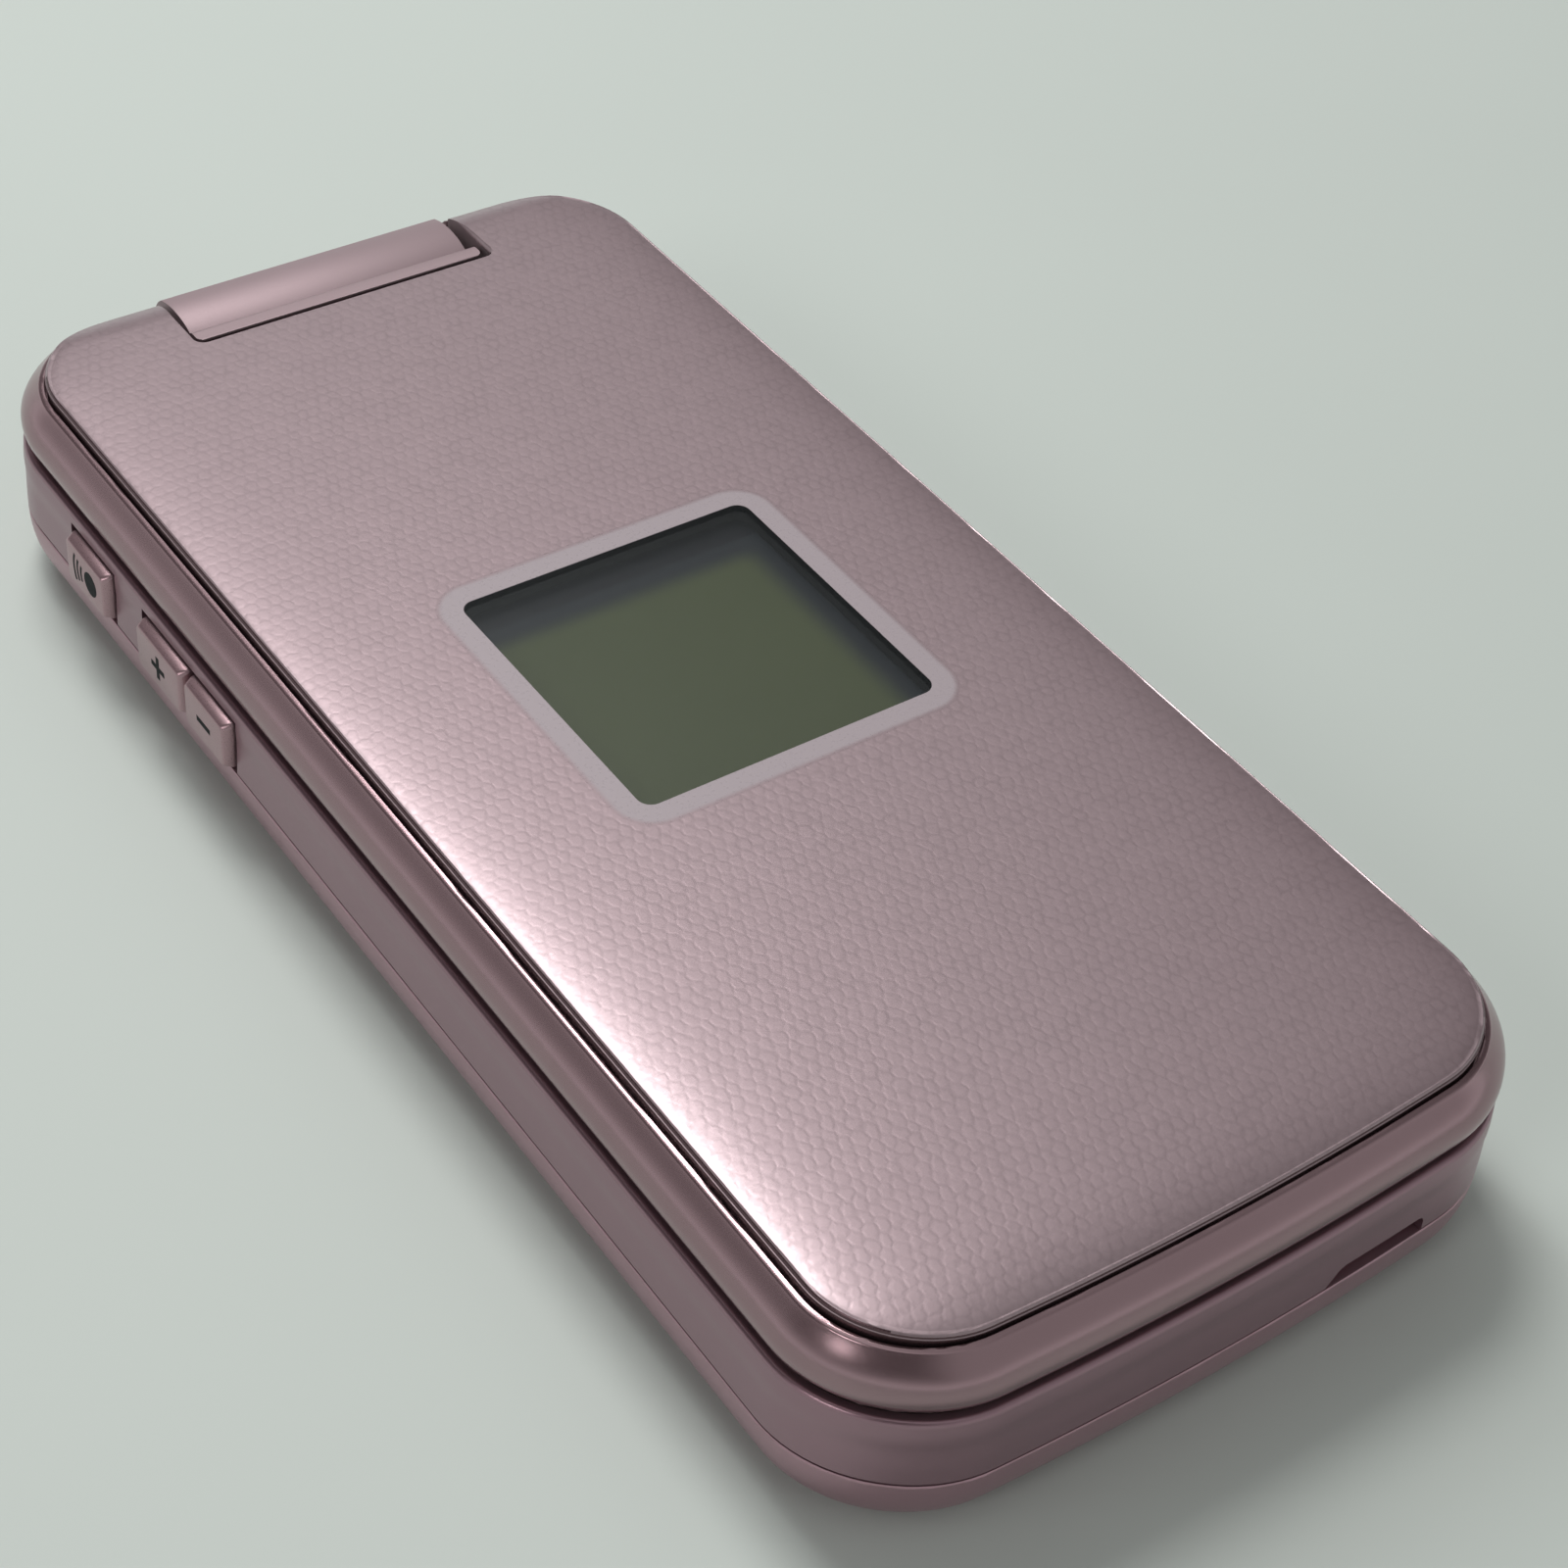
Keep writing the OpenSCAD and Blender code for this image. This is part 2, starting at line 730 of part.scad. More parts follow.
module main_board() {
    part_z = board_z + board_t - hair;
    color([0.13, 0.35, 0.22])
    difference() {
        union() {
            intersection() {
                prism(board_out, board_z, board_z + board_t);
                ahead_of(hinge_block_y - 0.3);
            }
            // Switches behind the side keys
            for (y = [voice_y, volume_down_y, volume_up_y])
                block([-switch_x, y - switch_l / 2, part_z - board_t],
                    [-switch_x + switch_t, y + switch_l / 2, switch_top_z]);
            // Shield over the radio parts, under the bare end of the deck
            block([-shield_w / 2, nav_y + nav_r + shield_room, part_z],
                [shield_w / 2, hinge_block_y - 2 * shield_room / 3, deck_bottom_z - 0.3]);
        }
        for (at = case_screws_at)
            post(at, case_boss_r + 0.2, -far, far);
        // The socket sits in a cut-out of the board
        block([side_wall_x - usb_l - 0.2, usb_y - usb_w / 2 - 0.2, -far],
            [far, usb_y + usb_w / 2 + 0.2, far]);
    }
}

module dome_sheet() {
    color([0.85, 0.85, 0.82])
        pad([0, (dome_y0 + dome_y1) / 2],
            [2 * (key_pitch_x + key_w / 2 + key_flange), dome_y1 - dome_y0],
            2, dome_z, dome_z + dome_t);
}

module antenna() {
    color([0.75, 0.68, 0.45])
        block([antenna_x - antenna_w / 2, antenna_y, cover_floor + 0.1],
            [antenna_x + antenna_w / 2, antenna_y + antenna_l, bay_roof_z - 0.1]);
}

module loudspeaker() {
    color([0.15, 0.15, 0.16])
        post(speaker_at, speaker_r, cover_floor + 0.1, bay_roof_z - 0.1);
}

module microphone() {
    color([0.75, 0.73, 0.62])
        pad(mic_at, [1.3 * mic_l, mic_l], 0.4, board_z + board_t, deck_bottom_z - 0.1);
}

module vibration_motor() {
    color([0.72, 0.72, 0.74])
    translate([12.5, -rim_y + 5.6, cover_floor + motor_r + 0.15])
        rotate([0, 90, 0])
            cylinder(r = motor_r, h = motor_l);
}

module camera_module() {
    color([0.10, 0.10, 0.11])
    difference() {
        union() {
            pad(camera_at, [camera_side, camera_side], 1, cover_floor + 0.15, bay_roof_z - 0.1);
            post(camera_at, camera_lens_r, camera_window_z + fit_gap, cover_floor + 0.3);
        }
        post(camera_at, camera_bore_r, -far, cover_floor + 0.6);
    }
}

module camera_window() {
    color([0.05, 0.05, 0.07])
        post(camera_at, camera_r, 0.25, camera_window_z);
}

module card_socket() {
    color([0.72, 0.72, 0.74])
        block([-card_w / 2, card_y0, bay_roof_z - fit_gap - card_t],
            [card_w / 2, card_y1, bay_roof_z - fit_gap]);
}

module usb_socket() {
    wall = 0.3;
    color([0.72, 0.72, 0.74])
    difference() {
        block([side_wall_x - usb_l, usb_y - usb_w / 2, usb_z],
            [side_wall_x + 0.3, usb_y + usb_w / 2, usb_z + usb_h]);
        block([side_wall_x - usb_l + wall, usb_y - usb_w / 2 + wall, usb_z + wall],
            [far, usb_y + usb_w / 2 - wall, usb_z + usb_h - wall]);
    }
    color([0.10, 0.10, 0.11])
        block([side_wall_x - usb_l + wall - hair, usb_y - usb_w / 2 + 1.4, usb_z + 1],
            [side_wall_x - 0.8, usb_y + usb_w / 2 - 1.4, usb_z + 1.6]);
}

module case_screws() {
    color([0.45, 0.45, 0.47])
        for (at = case_screws_at) {
            post(at, screw_head_r, bay_roof_z - 0.9, bay_roof_z - fit_gap);
            post(at, screw_r, bay_roof_z - 0.3, deck_z - 0.4);
        }
}

// The flap over the charging socket turns on its edge nearest the hinge
module port_cover() {
    x1 = side_x - port_cover_in;
    z0 = port_z - port_cover_h / 2;
    z1 = port_z + port_cover_h / 2;
    pin_l = run_gap + port_pin_in;
    color([0.63, 0.50, 0.54])
    difference() {
        union() {
            block([x1 - port_cover_t, usb_y - port_cover_l / 2, z0], [x1, port_hinge_at.y, z1]);
            post(port_hinge_at, port_cover_t / 2, z0, z1);
            post(port_hinge_at, port_pin_r, z0 - pin_l, z1 + pin_l);
        }
        // Groove for a fingernail
        block([x1 - port_cover_t / 3, usb_y - port_cover_l / 2 - 1, port_z - port_cover_h / 4],
            [far, usb_y - port_cover_l / 2 + 0.6, port_z + port_cover_h / 4]);
    }
}

// ---- Keys ----

// A key cap with a flange under the deck
module deck_key(at, size, r = key_corner) {
    color([0.74, 0.64, 0.67]) {
        pad(at, size, r, key_z, key_top_z);
        pad(at, size + 2 * [key_flange, key_flange], r, key_z, flange_top_z);
    }
}

module number_key(column, row) {
    deck_key([column * key_pitch_x, row_y[row]], [key_w, key_l]);
}

module call_row_key(column) {
    deck_key([column * key_pitch_x, call_y], [key_w, key_l]);
}

module soft_key(sx, sy) {
    deck_key([sx * soft_x, nav_y + sy * soft_y], [soft_w, soft_l]);
}

module navigation_ring() {
    at = [0, nav_y];
    color([0.74, 0.64, 0.67])
    difference() {
        union() {
            post(at, nav_r, key_z, key_top_z);
            post(at, nav_r + 0.45, key_z, flange_top_z);
        }
        post(at, centre_r + key_slot, -far, far);
        post(at, centre_r + key_flange + key_slot, -far, flange_top_z + key_slot);
    }
}

module centre_key() {
    at = [0, nav_y];
    color([0.80, 0.72, 0.74]) {
        post(at, centre_r, key_z, key_top_z);
        post(at, centre_r + key_flange, key_z, flange_top_z);
    }
}

// A side key: a cap with sloping sides, a stem and a flange inside the wall
module side_key(y, length) {
    x_in = side_pocket_x + 0.05 + key_travel;
    x_out = side_x + side_key_proud;
    slope = 0.35;
    z0 = side_key_z;
    z1 = side_key_z + side_key_h;
    skin = 0.1;
    color([0.70, 0.58, 0.62]) {
        hull() {
            block([-side_x, y - length / 2, z0], [-x_in, y + length / 2, z1]);
            block([-x_out, y - length / 2 + slope, z0 + slope],
                [-x_out + skin, y + length / 2 - slope, z1 - slope]);
        }
        block([-x_in - hair, y - length / 2 + side_stem / 2, floor_z + 0.85],
            [-side_wall_x + run_gap - hair, y + length / 2 - side_stem / 2, floor_z + 2.15]);
        block([-side_wall_x + run_gap - 2 * hair, y - length / 2 + 0.5, floor_z + 0.35],
            [-side_wall_x + run_gap + side_flange_t, y + length / 2 - 0.5, floor_z + 2.65]);
    }
}

// ---- Lid ----

module lid_frame() {
    color([0.66, 0.53, 0.57])
    difference() {
        union() {
            intersection() {
                loft(concat(
                    [for (a = [-41, -20, 0, 20, 40, 60])
                        [frame_side_r * cos(a) - frame_side_in, frame_side_z + frame_side_r * sin(a)]],
                    [[0.12, rim_z]]
                ));
                lid_envelope();
            }
            both_sides()
                intersection() {
                    hinge_rod(knuckle_r - 0.1, notch_half, knuckle_end);
                    prism(1.1, -far, lid_z + 1);
                }
        }
        // Seat of the panel
        prism(fit_gap - 0.05, ledge_z, far);
        // Room for the displays
        difference() {
            intersection() {
                prism(lid_wall_in, -far, far);
                ahead_of(lid_bay_y);
            }
            for (at = lid_screws_at)
                post(at, lid_boss_r, inner_top_z + fit_gap, ledge_z);
        }
        lid_notch();
        for (at = lid_screws_at)
            post(at, screw_r, -far, ledge_z - 0.2);
        // Sockets of the drive shaft and the pivot bush
        block([0, hinge_y - shaft_key / 2, hinge_z - shaft_key / 2] - [0, fit_gap, fit_gap],
            [notch_half + shaft_key_l + fit_gap, hinge_y + shaft_key / 2 + fit_gap,
                hinge_z + shaft_key / 2 + fit_gap]);
        hinge_rod(bush_r + 0.02, -barrel_half - bush_out - 0.3, 0);
    }
}

module lid_panel() {
    edge = -panel_groove;
    color([0.66, 0.54, 0.58])
    difference() {
        intersection() {
            loft([
                [edge, ledge_z + fit_gap],
                [edge, rim_z + 0.5 * panel_rise],
                [edge - 0.15, rim_z + 0.72 * panel_rise],
                [edge - 0.5, rim_z + 0.82 * panel_rise],
                [edge - 2, rim_z + 0.89 * panel_rise],
                [edge - 4.5, rim_z + 0.96 * panel_rise],
                [edge - 8, panel_z]
            ]);
            lid_envelope();
        }
        intersection() {
            prism(lid_wall_in, -far, panel_z - panel_t);
            ahead_of(lid_bay_y);
        }
        lid_notch();
        pad([0, sub_y], [sub_view, sub_view] + [0.6, 0.6], sub_view_corner, -far, far);
        pad([0, sub_y], [sub_side, sub_side] + 2 * [fit_gap, fit_gap], sub_corner,
            sub_window_z - fit_gap, far);
    }
}

module sub_window() {
    color([0.75, 0.70, 0.74])
        pad([0, sub_y], [sub_side, sub_side], sub_corner - fit_gap,
            sub_window_z, sub_window_z + sub_window_t);
}

module sub_display() {
    color([0.33, 0.37, 0.27])
        pad([0, sub_y], [sub_view, sub_view] + [2, 2], 0.8, sub_lcd_z, panel_z - panel_t - fit_gap);
}

module lid_inner_case() {
    z0 = lid_z + fit_gap;
    color([0.16, 0.14, 0.16])
    difference() {
        intersection() {
            prism(lid_wall_in - fit_gap, z0, inner_top_z);
            ahead_of(lid_bay_y - fit_gap);
        }
        pad([0, main_window_y], [main_window_w, main_window_l] + 2 * [fit_gap, fit_gap], 2,
            -far, z0 + main_window_t + fit_gap);
        pad([0, main_window_y], [main_window_w, main_window_l] - 2 * [view_side, view_end], 1, -far, far);
        for (k = [-1:1])
            pad(earpiece_at + [0, earpiece_l / 4 * k], [earpiece_w * 2 / 3, 0.7], 0.3, -far, far);
        for (at = lid_screws_at) {
            post(at, screw_r + fit_gap, -far, far);
            post(at, screw_head_r + fit_gap, -far, z0 + 0.55);
        }
        both_sides()
            pad(bumper_at, [bumper_w, bumper_l] + 2 * [fit_gap, fit_gap], bumper_l / 2,
                -far, z0 + 0.4);
    }
}

module main_window() {
    color([0.05, 0.05, 0.07])
        pad([0, main_window_y], [main_window_w, main_window_l], 2 - fit_gap,
            lid_z + fit_gap, lid_z + fit_gap + main_window_t);
}

module main_display() {
    color([0.10, 0.11, 0.14])
        pad([0, main_window_y], [main_window_w, main_window_l] - [1.2 * view_side, view_end], 0.6,
            main_lcd_z, main_lcd_z + main_lcd_t);
}

module lid_board() {
    color([0.13, 0.35, 0.22])
        pad([0, main_window_y], [main_window_w, main_window_l] - [1.5 * view_side, 4], 1,
            lid_board_z, lid_board_z + lid_board_t);
}

module earpiece() {
    color([0.20, 0.20, 0.22])
        pad(earpiece_at, [earpiece_w, earpiece_l], 1.2, inner_top_z + fit_gap, panel_z - panel_t - 0.2);
}

module lid_magnet() {
    color([0.55, 0.55, 0.57])
        pad(magnet_at, [magnet_w, magnet_l], 0.4, inner_top_z + fit_gap, inner_top_z + 1.6);
}

module lid_bumpers() {
    color([0.12, 0.12, 0.13])
        both_sides()
            pad(bumper_at, [bumper_w, bumper_l], bumper_l / 2 - fit_gap,
                deck_z + 0.15, lid_z + fit_gap + 0.35);
}

module lid_screws() {
    z0 = lid_z + fit_gap;
    color([0.45, 0.45, 0.47])
        for (at = lid_screws_at) {
            post(at, screw_head_r, z0 + 0.05, z0 + 0.5);
            post(at, screw_r - 0.02, z0 + 0.4, ledge_z - 0.3);
        }
}

module hinge_drive_shaft() {
    color([0.72, 0.72, 0.74]) {
        hinge_rod(shaft_r, barrel_half - shaft_in, notch_half + 0.2);
        block([notch_half + 0.1, hinge_y - shaft_key / 2, hinge_z - shaft_key / 2],
            [notch_half + shaft_key_l, hinge_y + shaft_key / 2, hinge_z + shaft_key / 2]);
    }
}

module hinge_pivot_bush() {
    color([0.72, 0.72, 0.74])
    difference() {
        hinge_rod(bush_r, -barrel_half - bush_out, -barrel_half + bush_in);
        hinge_rod(bush_bore_r, -far, far);
    }
}

// ---- Parts ----

battery_cover();
middle_case();
key_deck();
hinge_cover();
hinge_click_unit();
hinge_flex();
battery();
battery_contacts();
main_board();
dome_sheet();
antenna();
loudspeaker();
microphone();
vibration_motor();
camera_module();
camera_window();
card_socket();
usb_socket();
case_screws();
port_cover();
number_key(-1, 3);  // key_1
number_key(0, 3);  // key_2
number_key(1, 3);  // key_3
number_key(-1, 2);  // key_4
number_key(0, 2);  // key_5
number_key(1, 2);  // key_6
number_key(-1, 1);  // key_7
number_key(0, 1);  // key_8
number_key(1, 1);  // key_9
number_key(-1, 0);  // key_star
number_key(0, 0);  // key_0
number_key(1, 0);  // key_hash
call_row_key(-1);  // key_call
call_row_key(0);  // key_clear
call_row_key(1);  // key_end
navigation_ring();
centre_key();
soft_key(-1, 1);  // soft_key_1
soft_key(1, 1);  // soft_key_2
soft_key(-1, -1);  // soft_key_3
soft_key(1, -1);  // soft_key_4
side_key(voice_y, voice_key_l);  // voice_key
side_key(volume_up_y, volume_up_l);  // volume_up_key
side_key(volume_down_y, volume_down_l);  // volume_down_key
lid_frame();
lid_panel();
sub_window();
sub_display();
lid_inner_case();
main_window();
main_display();
lid_board();
earpiece();
lid_magnet();
lid_bumpers();
lid_screws();
hinge_drive_shaft();
hinge_pivot_bush();
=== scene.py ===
"""Folding mobile phone in rose pearl paint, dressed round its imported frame."""
import functools
import json
import math
from contextlib import contextmanager

import bmesh
import bpy
from bpy.props import FloatProperty, FloatVectorProperty, PointerProperty
from mathutils import Matrix, Vector
from mathutils.bvhtree import BVHTree
from mathutils.interpolate import poly_3d_calc


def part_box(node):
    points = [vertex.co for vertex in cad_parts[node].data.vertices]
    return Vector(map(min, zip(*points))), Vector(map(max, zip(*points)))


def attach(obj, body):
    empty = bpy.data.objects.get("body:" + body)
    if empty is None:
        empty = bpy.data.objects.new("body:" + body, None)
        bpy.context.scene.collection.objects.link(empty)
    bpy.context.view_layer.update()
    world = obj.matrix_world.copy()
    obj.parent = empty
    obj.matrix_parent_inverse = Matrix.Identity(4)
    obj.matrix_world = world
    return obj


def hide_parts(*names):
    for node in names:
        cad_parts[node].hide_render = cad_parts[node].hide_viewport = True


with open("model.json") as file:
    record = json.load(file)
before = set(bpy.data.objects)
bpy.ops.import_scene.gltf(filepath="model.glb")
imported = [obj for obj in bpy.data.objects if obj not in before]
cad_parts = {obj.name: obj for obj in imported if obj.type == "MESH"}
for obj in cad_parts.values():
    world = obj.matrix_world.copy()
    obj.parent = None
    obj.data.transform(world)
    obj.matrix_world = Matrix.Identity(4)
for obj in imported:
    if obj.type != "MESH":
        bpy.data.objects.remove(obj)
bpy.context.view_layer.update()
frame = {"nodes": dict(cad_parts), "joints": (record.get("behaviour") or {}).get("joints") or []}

bl_info = {
    "name": "Folding phone",
    "version": (1, 0, 0),
    "blender": (4, 5, 0),
    "location": "3D View > Sidebar > Folding phone",
    "description": "Builds the shells, keys, windows and finishes of a folding phone",
    "category": "Object",
}

MM = 0.001
WELD = 1e-7         # metres between corners that become one
FAR = 60.0          # millimetres, past every side of the phone
BEHIND = 80.0       # millimetres, well past both of its ends


# ---- Places read from the frame, in millimetres ----

def span(node):
    """Lowest and highest corner of a node."""
    low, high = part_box(node)
    return low / MM, high / MM


def middle_of(node):
    """Middle of a node's box."""
    low, high = span(node)
    return (low + high) / 2


PANEL_LOW, PANEL_HIGH = span("lid_panel")
FRAME_LOW, FRAME_HIGH = span("lid_frame")
CASE_HIGH = span("middle_case")[1]
COVER_HIGH = span("battery_cover")[1]
DECK_LOW = span("key_deck")[0]
WINDOW_LOW, WINDOW_HIGH = span("sub_window")
DISPLAY_LOW, DISPLAY_HIGH = span("sub_display")
BARREL_HIGH = span("hinge_cover")[1]
HINGE = Vector(next(j for j in frame["joints"] if j["name"] == "lid_hinge")["pos_m"]) / MM
AXIS = HINGE.yz
KEY_TOP = span("key_5")[1].z

WINDOW_MIDDLE = middle_of("sub_window").xy
WINDOW_SIDE = WINDOW_HIGH.x - WINDOW_LOW.x
WINDOW_CORNER = 3.0
PANEL_GROOVE = 0.3
RIM_X = PANEL_HIGH.x + PANEL_GROOVE
RIM_Y = PANEL_GROOVE - PANEL_LOW.y
RIM_Z = FRAME_HIGH.z
CASE_Z = COVER_HIGH.z + 0.08    # a fine seam above the battery cover
NOTCH_HALF = 12.35              # half the width of the lid's notch, where its knuckles begin
CASE_NOTCH_HALF = 12.1          # the same in the base
KEY_GAP = 0.35                  # round a side key and the socket's cover
KEY_CORNER = 1.6
KEY_DISH = 0.08
ROUND_KEY_DISH = 0.14
FLANGE_TOP = 9.3                # top of the thin edge under each key
DIGIT_WIDTH = 0.36


# ---- Settings ----

def length_property(name, description, millimetres):
    return FloatProperty(name=name, description=description, default=millimetres * MM, unit="LENGTH")


def colour_property(name, description, value):
    return FloatVectorProperty(name=name, description=description, subtype="COLOR", size=3, min=0, max=1,
                               default=value)


def angle_property(name, description, degrees):
    return FloatProperty(name=name, description=description, subtype="ANGLE", default=math.radians(degrees))


def power_property(name, description, watts):
    return FloatProperty(name=name, description=description, default=watts, unit="POWER")


def direction_property(name, description, value):
    return FloatVectorProperty(name=name, description=description, subtype="DIRECTION", size=3, default=value)


class PhoneShape(bpy.types.PropertyGroup):
    """Sizes of the shells that a user would change."""

    corner_free: length_property("Free corner radius", "Corner radius of the rim at the free end", 7.5)
    corner_hinge: length_property("Hinge corner radius", "Corner radius of the rim at the hinge end", 8.4)
    end_bow: length_property("End bow", "How far the middle of the free end bows out", 1.1)
    bow_reach: length_property("Bow reach", "Length of side over which the bow fades", 25)
    crown: length_property("Panel crown", "How far the panel falls from its middle to its edge", 0.30)
    crown_reach: length_property("Crown reach", "How fast the panel's crown fades inwards", 2.5)
    side_radius: length_property("Frame side radius", "Radius of the lid frame's rounded side", 2.18)
    roll_radius: length_property("Roll radius", "Radius of the lid's hinge end about the hinge axis", 5.4)
    view_side: length_property("Window side", "Side of the clear square of the outer window", 22.7)


class PhoneFinish(bpy.types.PropertyGroup):
    """Colours and scales of the finishes."""

    rose: colour_property("Rose paint", "Colour of the satin metallic paint", (0.365, 0.245, 0.266))
    pearl: colour_property("Pearl paint", "Colour of the lid panel", (0.350, 0.262, 0.283))
    border: colour_property("Window border", "Colour printed round the outer window", (0.395, 0.335, 0.36))
    glass_green: colour_property("Display green", "Colour of the unlit outer display", (0.053, 0.065, 0.029))
    cell_width: length_property("Cell width", "Width of one cell of the panel's pattern", 0.87)
    cell_row: length_property("Cell row", "Distance between rows of the panel's cells", 0.95)
    flake: length_property("Flake size", "Size of the flakes in the paint", 0.06)


class PhoneStage(bpy.types.PropertyGroup):
    """Camera, table and lights."""

    azimuth: angle_property("Azimuth", "Direction that the camera stands in", -38.648)
    elevation: angle_property("Elevation", "Height of the camera above the table", 42.444)
    roll: angle_property("Roll", "Tilt of the camera about its own line of sight", 5.561)
    place: FloatVectorProperty(
        name="Camera place", description="Where the camera stands", subtype="TRANSLATION",
        size=3, default=(-91.81 * MM, -124.80 * MM, 146.75 * MM))
    lens: FloatProperty(name="Lens", description="Focal length on a 36 mm sensor", default=70.983)
    table: colour_property("Table", "Colour of the table", (0.565, 0.615, 0.58))
    key_power: power_property("Key light", "Power of the large soft light", 1.62)
    lamp_aim: direction_property(
        "Small light direction", "Direction that the small light stands in", (-0.775, -0.225, 0.57))
    lamp_power: power_property("Small light", "Power of the small soft light", 1.15)
    light_aim: direction_property(
        "Light direction", "Direction that the large soft light stands in", (0.08, 0.455, 0.885))
    fill: FloatProperty(name="Room light", description="Strength of the even light of the room", default=1.0)


def shape():
    """The sizes, in millimetres."""
    group = bpy.context.scene.phone_shape
    return {name: getattr(group, name) / MM for name in PhoneShape.__annotations__}


# ---- Outlines ----

def unit(value):
    """A value kept between 0 and 1."""
    return min(1.0, max(0.0, value))


def mix(a, b, t):
    return a + (b - a) * t


def spread(first, last, steps):
    """Even values from first to last, both included."""
    return [mix(first, last, k / steps) for k in range(steps + 1)]


def on_circle(centre, radius, degrees):
    """Points on a circle, one for each angle."""
    turns = [math.radians(a) for a in degrees]
    return [Vector((centre[0] + radius * math.cos(a), centre[1] + radius * math.sin(a))) for a in turns]


def disc_ring(centre, radius, steps=48):
    return on_circle(centre, radius, spread(0, 360, steps)[:-1])


def corner_arcs(low, high, radii, steps):
    """The round corners of a rectangle, each a quarter turn, from the one at +X +Y onwards."""
    (x0, y0), (x1, y1) = low, high
    a, b, c, d = radii
    centres = ((x1 - a, y1 - a), (x0 + b, y1 - b), (x0 + c, y0 + c), (x1 - d, y0 + d))
    return [on_circle(centre, radius, spread(start, start + 90, steps))
            for centre, radius, start in zip(centres, radii, (0, 90, 180, 270))]


def outline(offset, softness=1.0):
    """The rim moved out by offset. Softness below 1 keeps inner corners rounder."""
    s = shape()
    w, l = RIM_X + offset, RIM_Y + offset
    free = max(0.6, s["corner_free"] + softness * offset)
    hinge = max(0.6, s["corner_hinge"] + softness * offset)
    arcs = corner_arcs((-w, -l), (w, l), (hinge, hinge, free, free), 20)
    points = []
    for k, lines in enumerate((24, 44, 24, 44)):
        start, end = arcs[k][-1], arcs[(k + 1) % 4][0]
        points += arcs[k] + [start.lerp(end, i / lines) for i in range(1, lines)]
    for p in points:
        fade = unit((s["bow_reach"] - RIM_Y - p.y) / s["bow_reach"])
        p.y += s["end_bow"] * (p.x / RIM_X) ** 2 * fade
    return points


def outline_before(y, offset):
    """The rim moved out by offset, kept on the free end's side of y."""
    return [Vector((p.x, min(p.y, y))) for p in outline(offset)]


def rounded_box(low, high, radius, steps=8):
    """A ring round a rectangle with round corners."""
    return sum(corner_arcs(low, high, [radius] * 4, steps), [])


def square_ring(side, radius, steps=8):
    """A ring round a square with round corners, in the middle of the outer window."""
    half = Vector((side / 2, side / 2))
    return rounded_box(WINDOW_MIDDLE - half, WINDOW_MIDDLE + half, radius, steps)


def at_height(ring, z):
    return [Vector((p.x, p.y, z)) for p in ring]


def across(ring, x):
    """A ring drawn in Y and Z, set at x."""
    return [Vector((x, p.x, p.y)) for p in ring]


# ---- Meshes ----

@contextmanager
def editing(mesh):
    """Opens a mesh for editing, and writes it back."""
    work = bmesh.new()
    work.from_mesh(mesh)
    yield work
    work.to_mesh(mesh)
    work.free()


def make_object(name, data):
    piece = bpy.data.objects.new(name, data)
    bpy.context.scene.collection.objects.link(piece)
    return piece


def stack(name, rings, loop=False):
    """A skin through rings of equal count, in millimetres from bottom to top, closed at its ends or looped."""
    count = len(rings[0])
    faces = []
    for i in range(len(rings) if loop else len(rings) - 1):
        a, b = i * count, ((i + 1) % len(rings)) * count
        for k in range(count):
            n = (k + 1) % count
            faces.append((a + k, a + n, b + n, b + k))
    if not loop:
        faces.append(tuple(reversed(range(count))))
        faces.append(tuple(range((len(rings) - 1) * count, len(rings) * count)))
    mesh = bpy.data.meshes.new(name)
    mesh.from_pydata([p * MM for ring in rings for p in ring], [], faces)
    mesh.update()
    with editing(mesh) as work:
        bmesh.ops.remove_doubles(work, verts=work.verts, dist=WELD)
        bmesh.ops.recalc_face_normals(work, faces=work.faces)
    return make_object(name, mesh)


def column(ring, z0, z1, name="cut"):
    """An upright block with a ring as its plan."""
    return stack(name, [at_height(ring, z0), at_height(ring, z1)])


def beam(ring, x0, x1, name="cut"):
    """A block along X, with a ring drawn in Y and Z as its section."""
    return stack(name, [across(ring, x0), across(ring, x1)])


def block(low, high):
    """A box, used for cutting and joining."""
    corners = ((low[0], low[1]), (high[0], low[1]), (high[0], high[1]), (low[0], high[1]))
    return column([Vector(corner) for corner in corners], low[2], high[2])


def sharpen(piece, angle=35):
    """Smooth shading, with edges over an angle kept sharp."""
    limit = math.radians(angle)
    with editing(piece.data) as work:
        for face in work.faces:
            face.smooth = True
        for edge in work.edges:
            edge.smooth = len(edge.link_faces) == 2 and edge.calc_face_angle(0.0) < limit


def discard(*pieces):
    for piece in pieces:
        mesh = piece.data
        bpy.data.objects.remove(piece)
        bpy.data.meshes.remove(mesh)


def settle(piece):
    """Turns a piece with modifiers into a plain mesh."""
    graph = bpy.context.evaluated_depsgraph_get()
    mesh = bpy.data.meshes.new_from_object(piece.evaluated_get(graph))
    old = piece.data
    piece.modifiers.clear()
    piece.data = mesh
    mesh.name = piece.name
    bpy.data.meshes.remove(old)
    if not mesh.polygons:
        raise RuntimeError(f"{piece.name} came out empty")
    return piece


def combine(piece, other, operation="DIFFERENCE"):
    """Cuts, joins or intersects a piece with another one, which is used up."""
    bpy.context.view_layer.update()
    modifier = piece.modifiers.new("combine", "BOOLEAN")
    modifier.operation = operation
    modifier.solver = "EXACT"
    modifier.object = other
    settle(piece)
    discard(other)


def round_edges(piece, width, segments=3, angle=30):
    modifier = piece.modifiers.new("round", "BEVEL")
    modifier.width = width * MM
    modifier.segments = segments
    modifier.limit_method = "ANGLE"
    modifier.angle_limit = math.radians(angle)
    settle(piece)


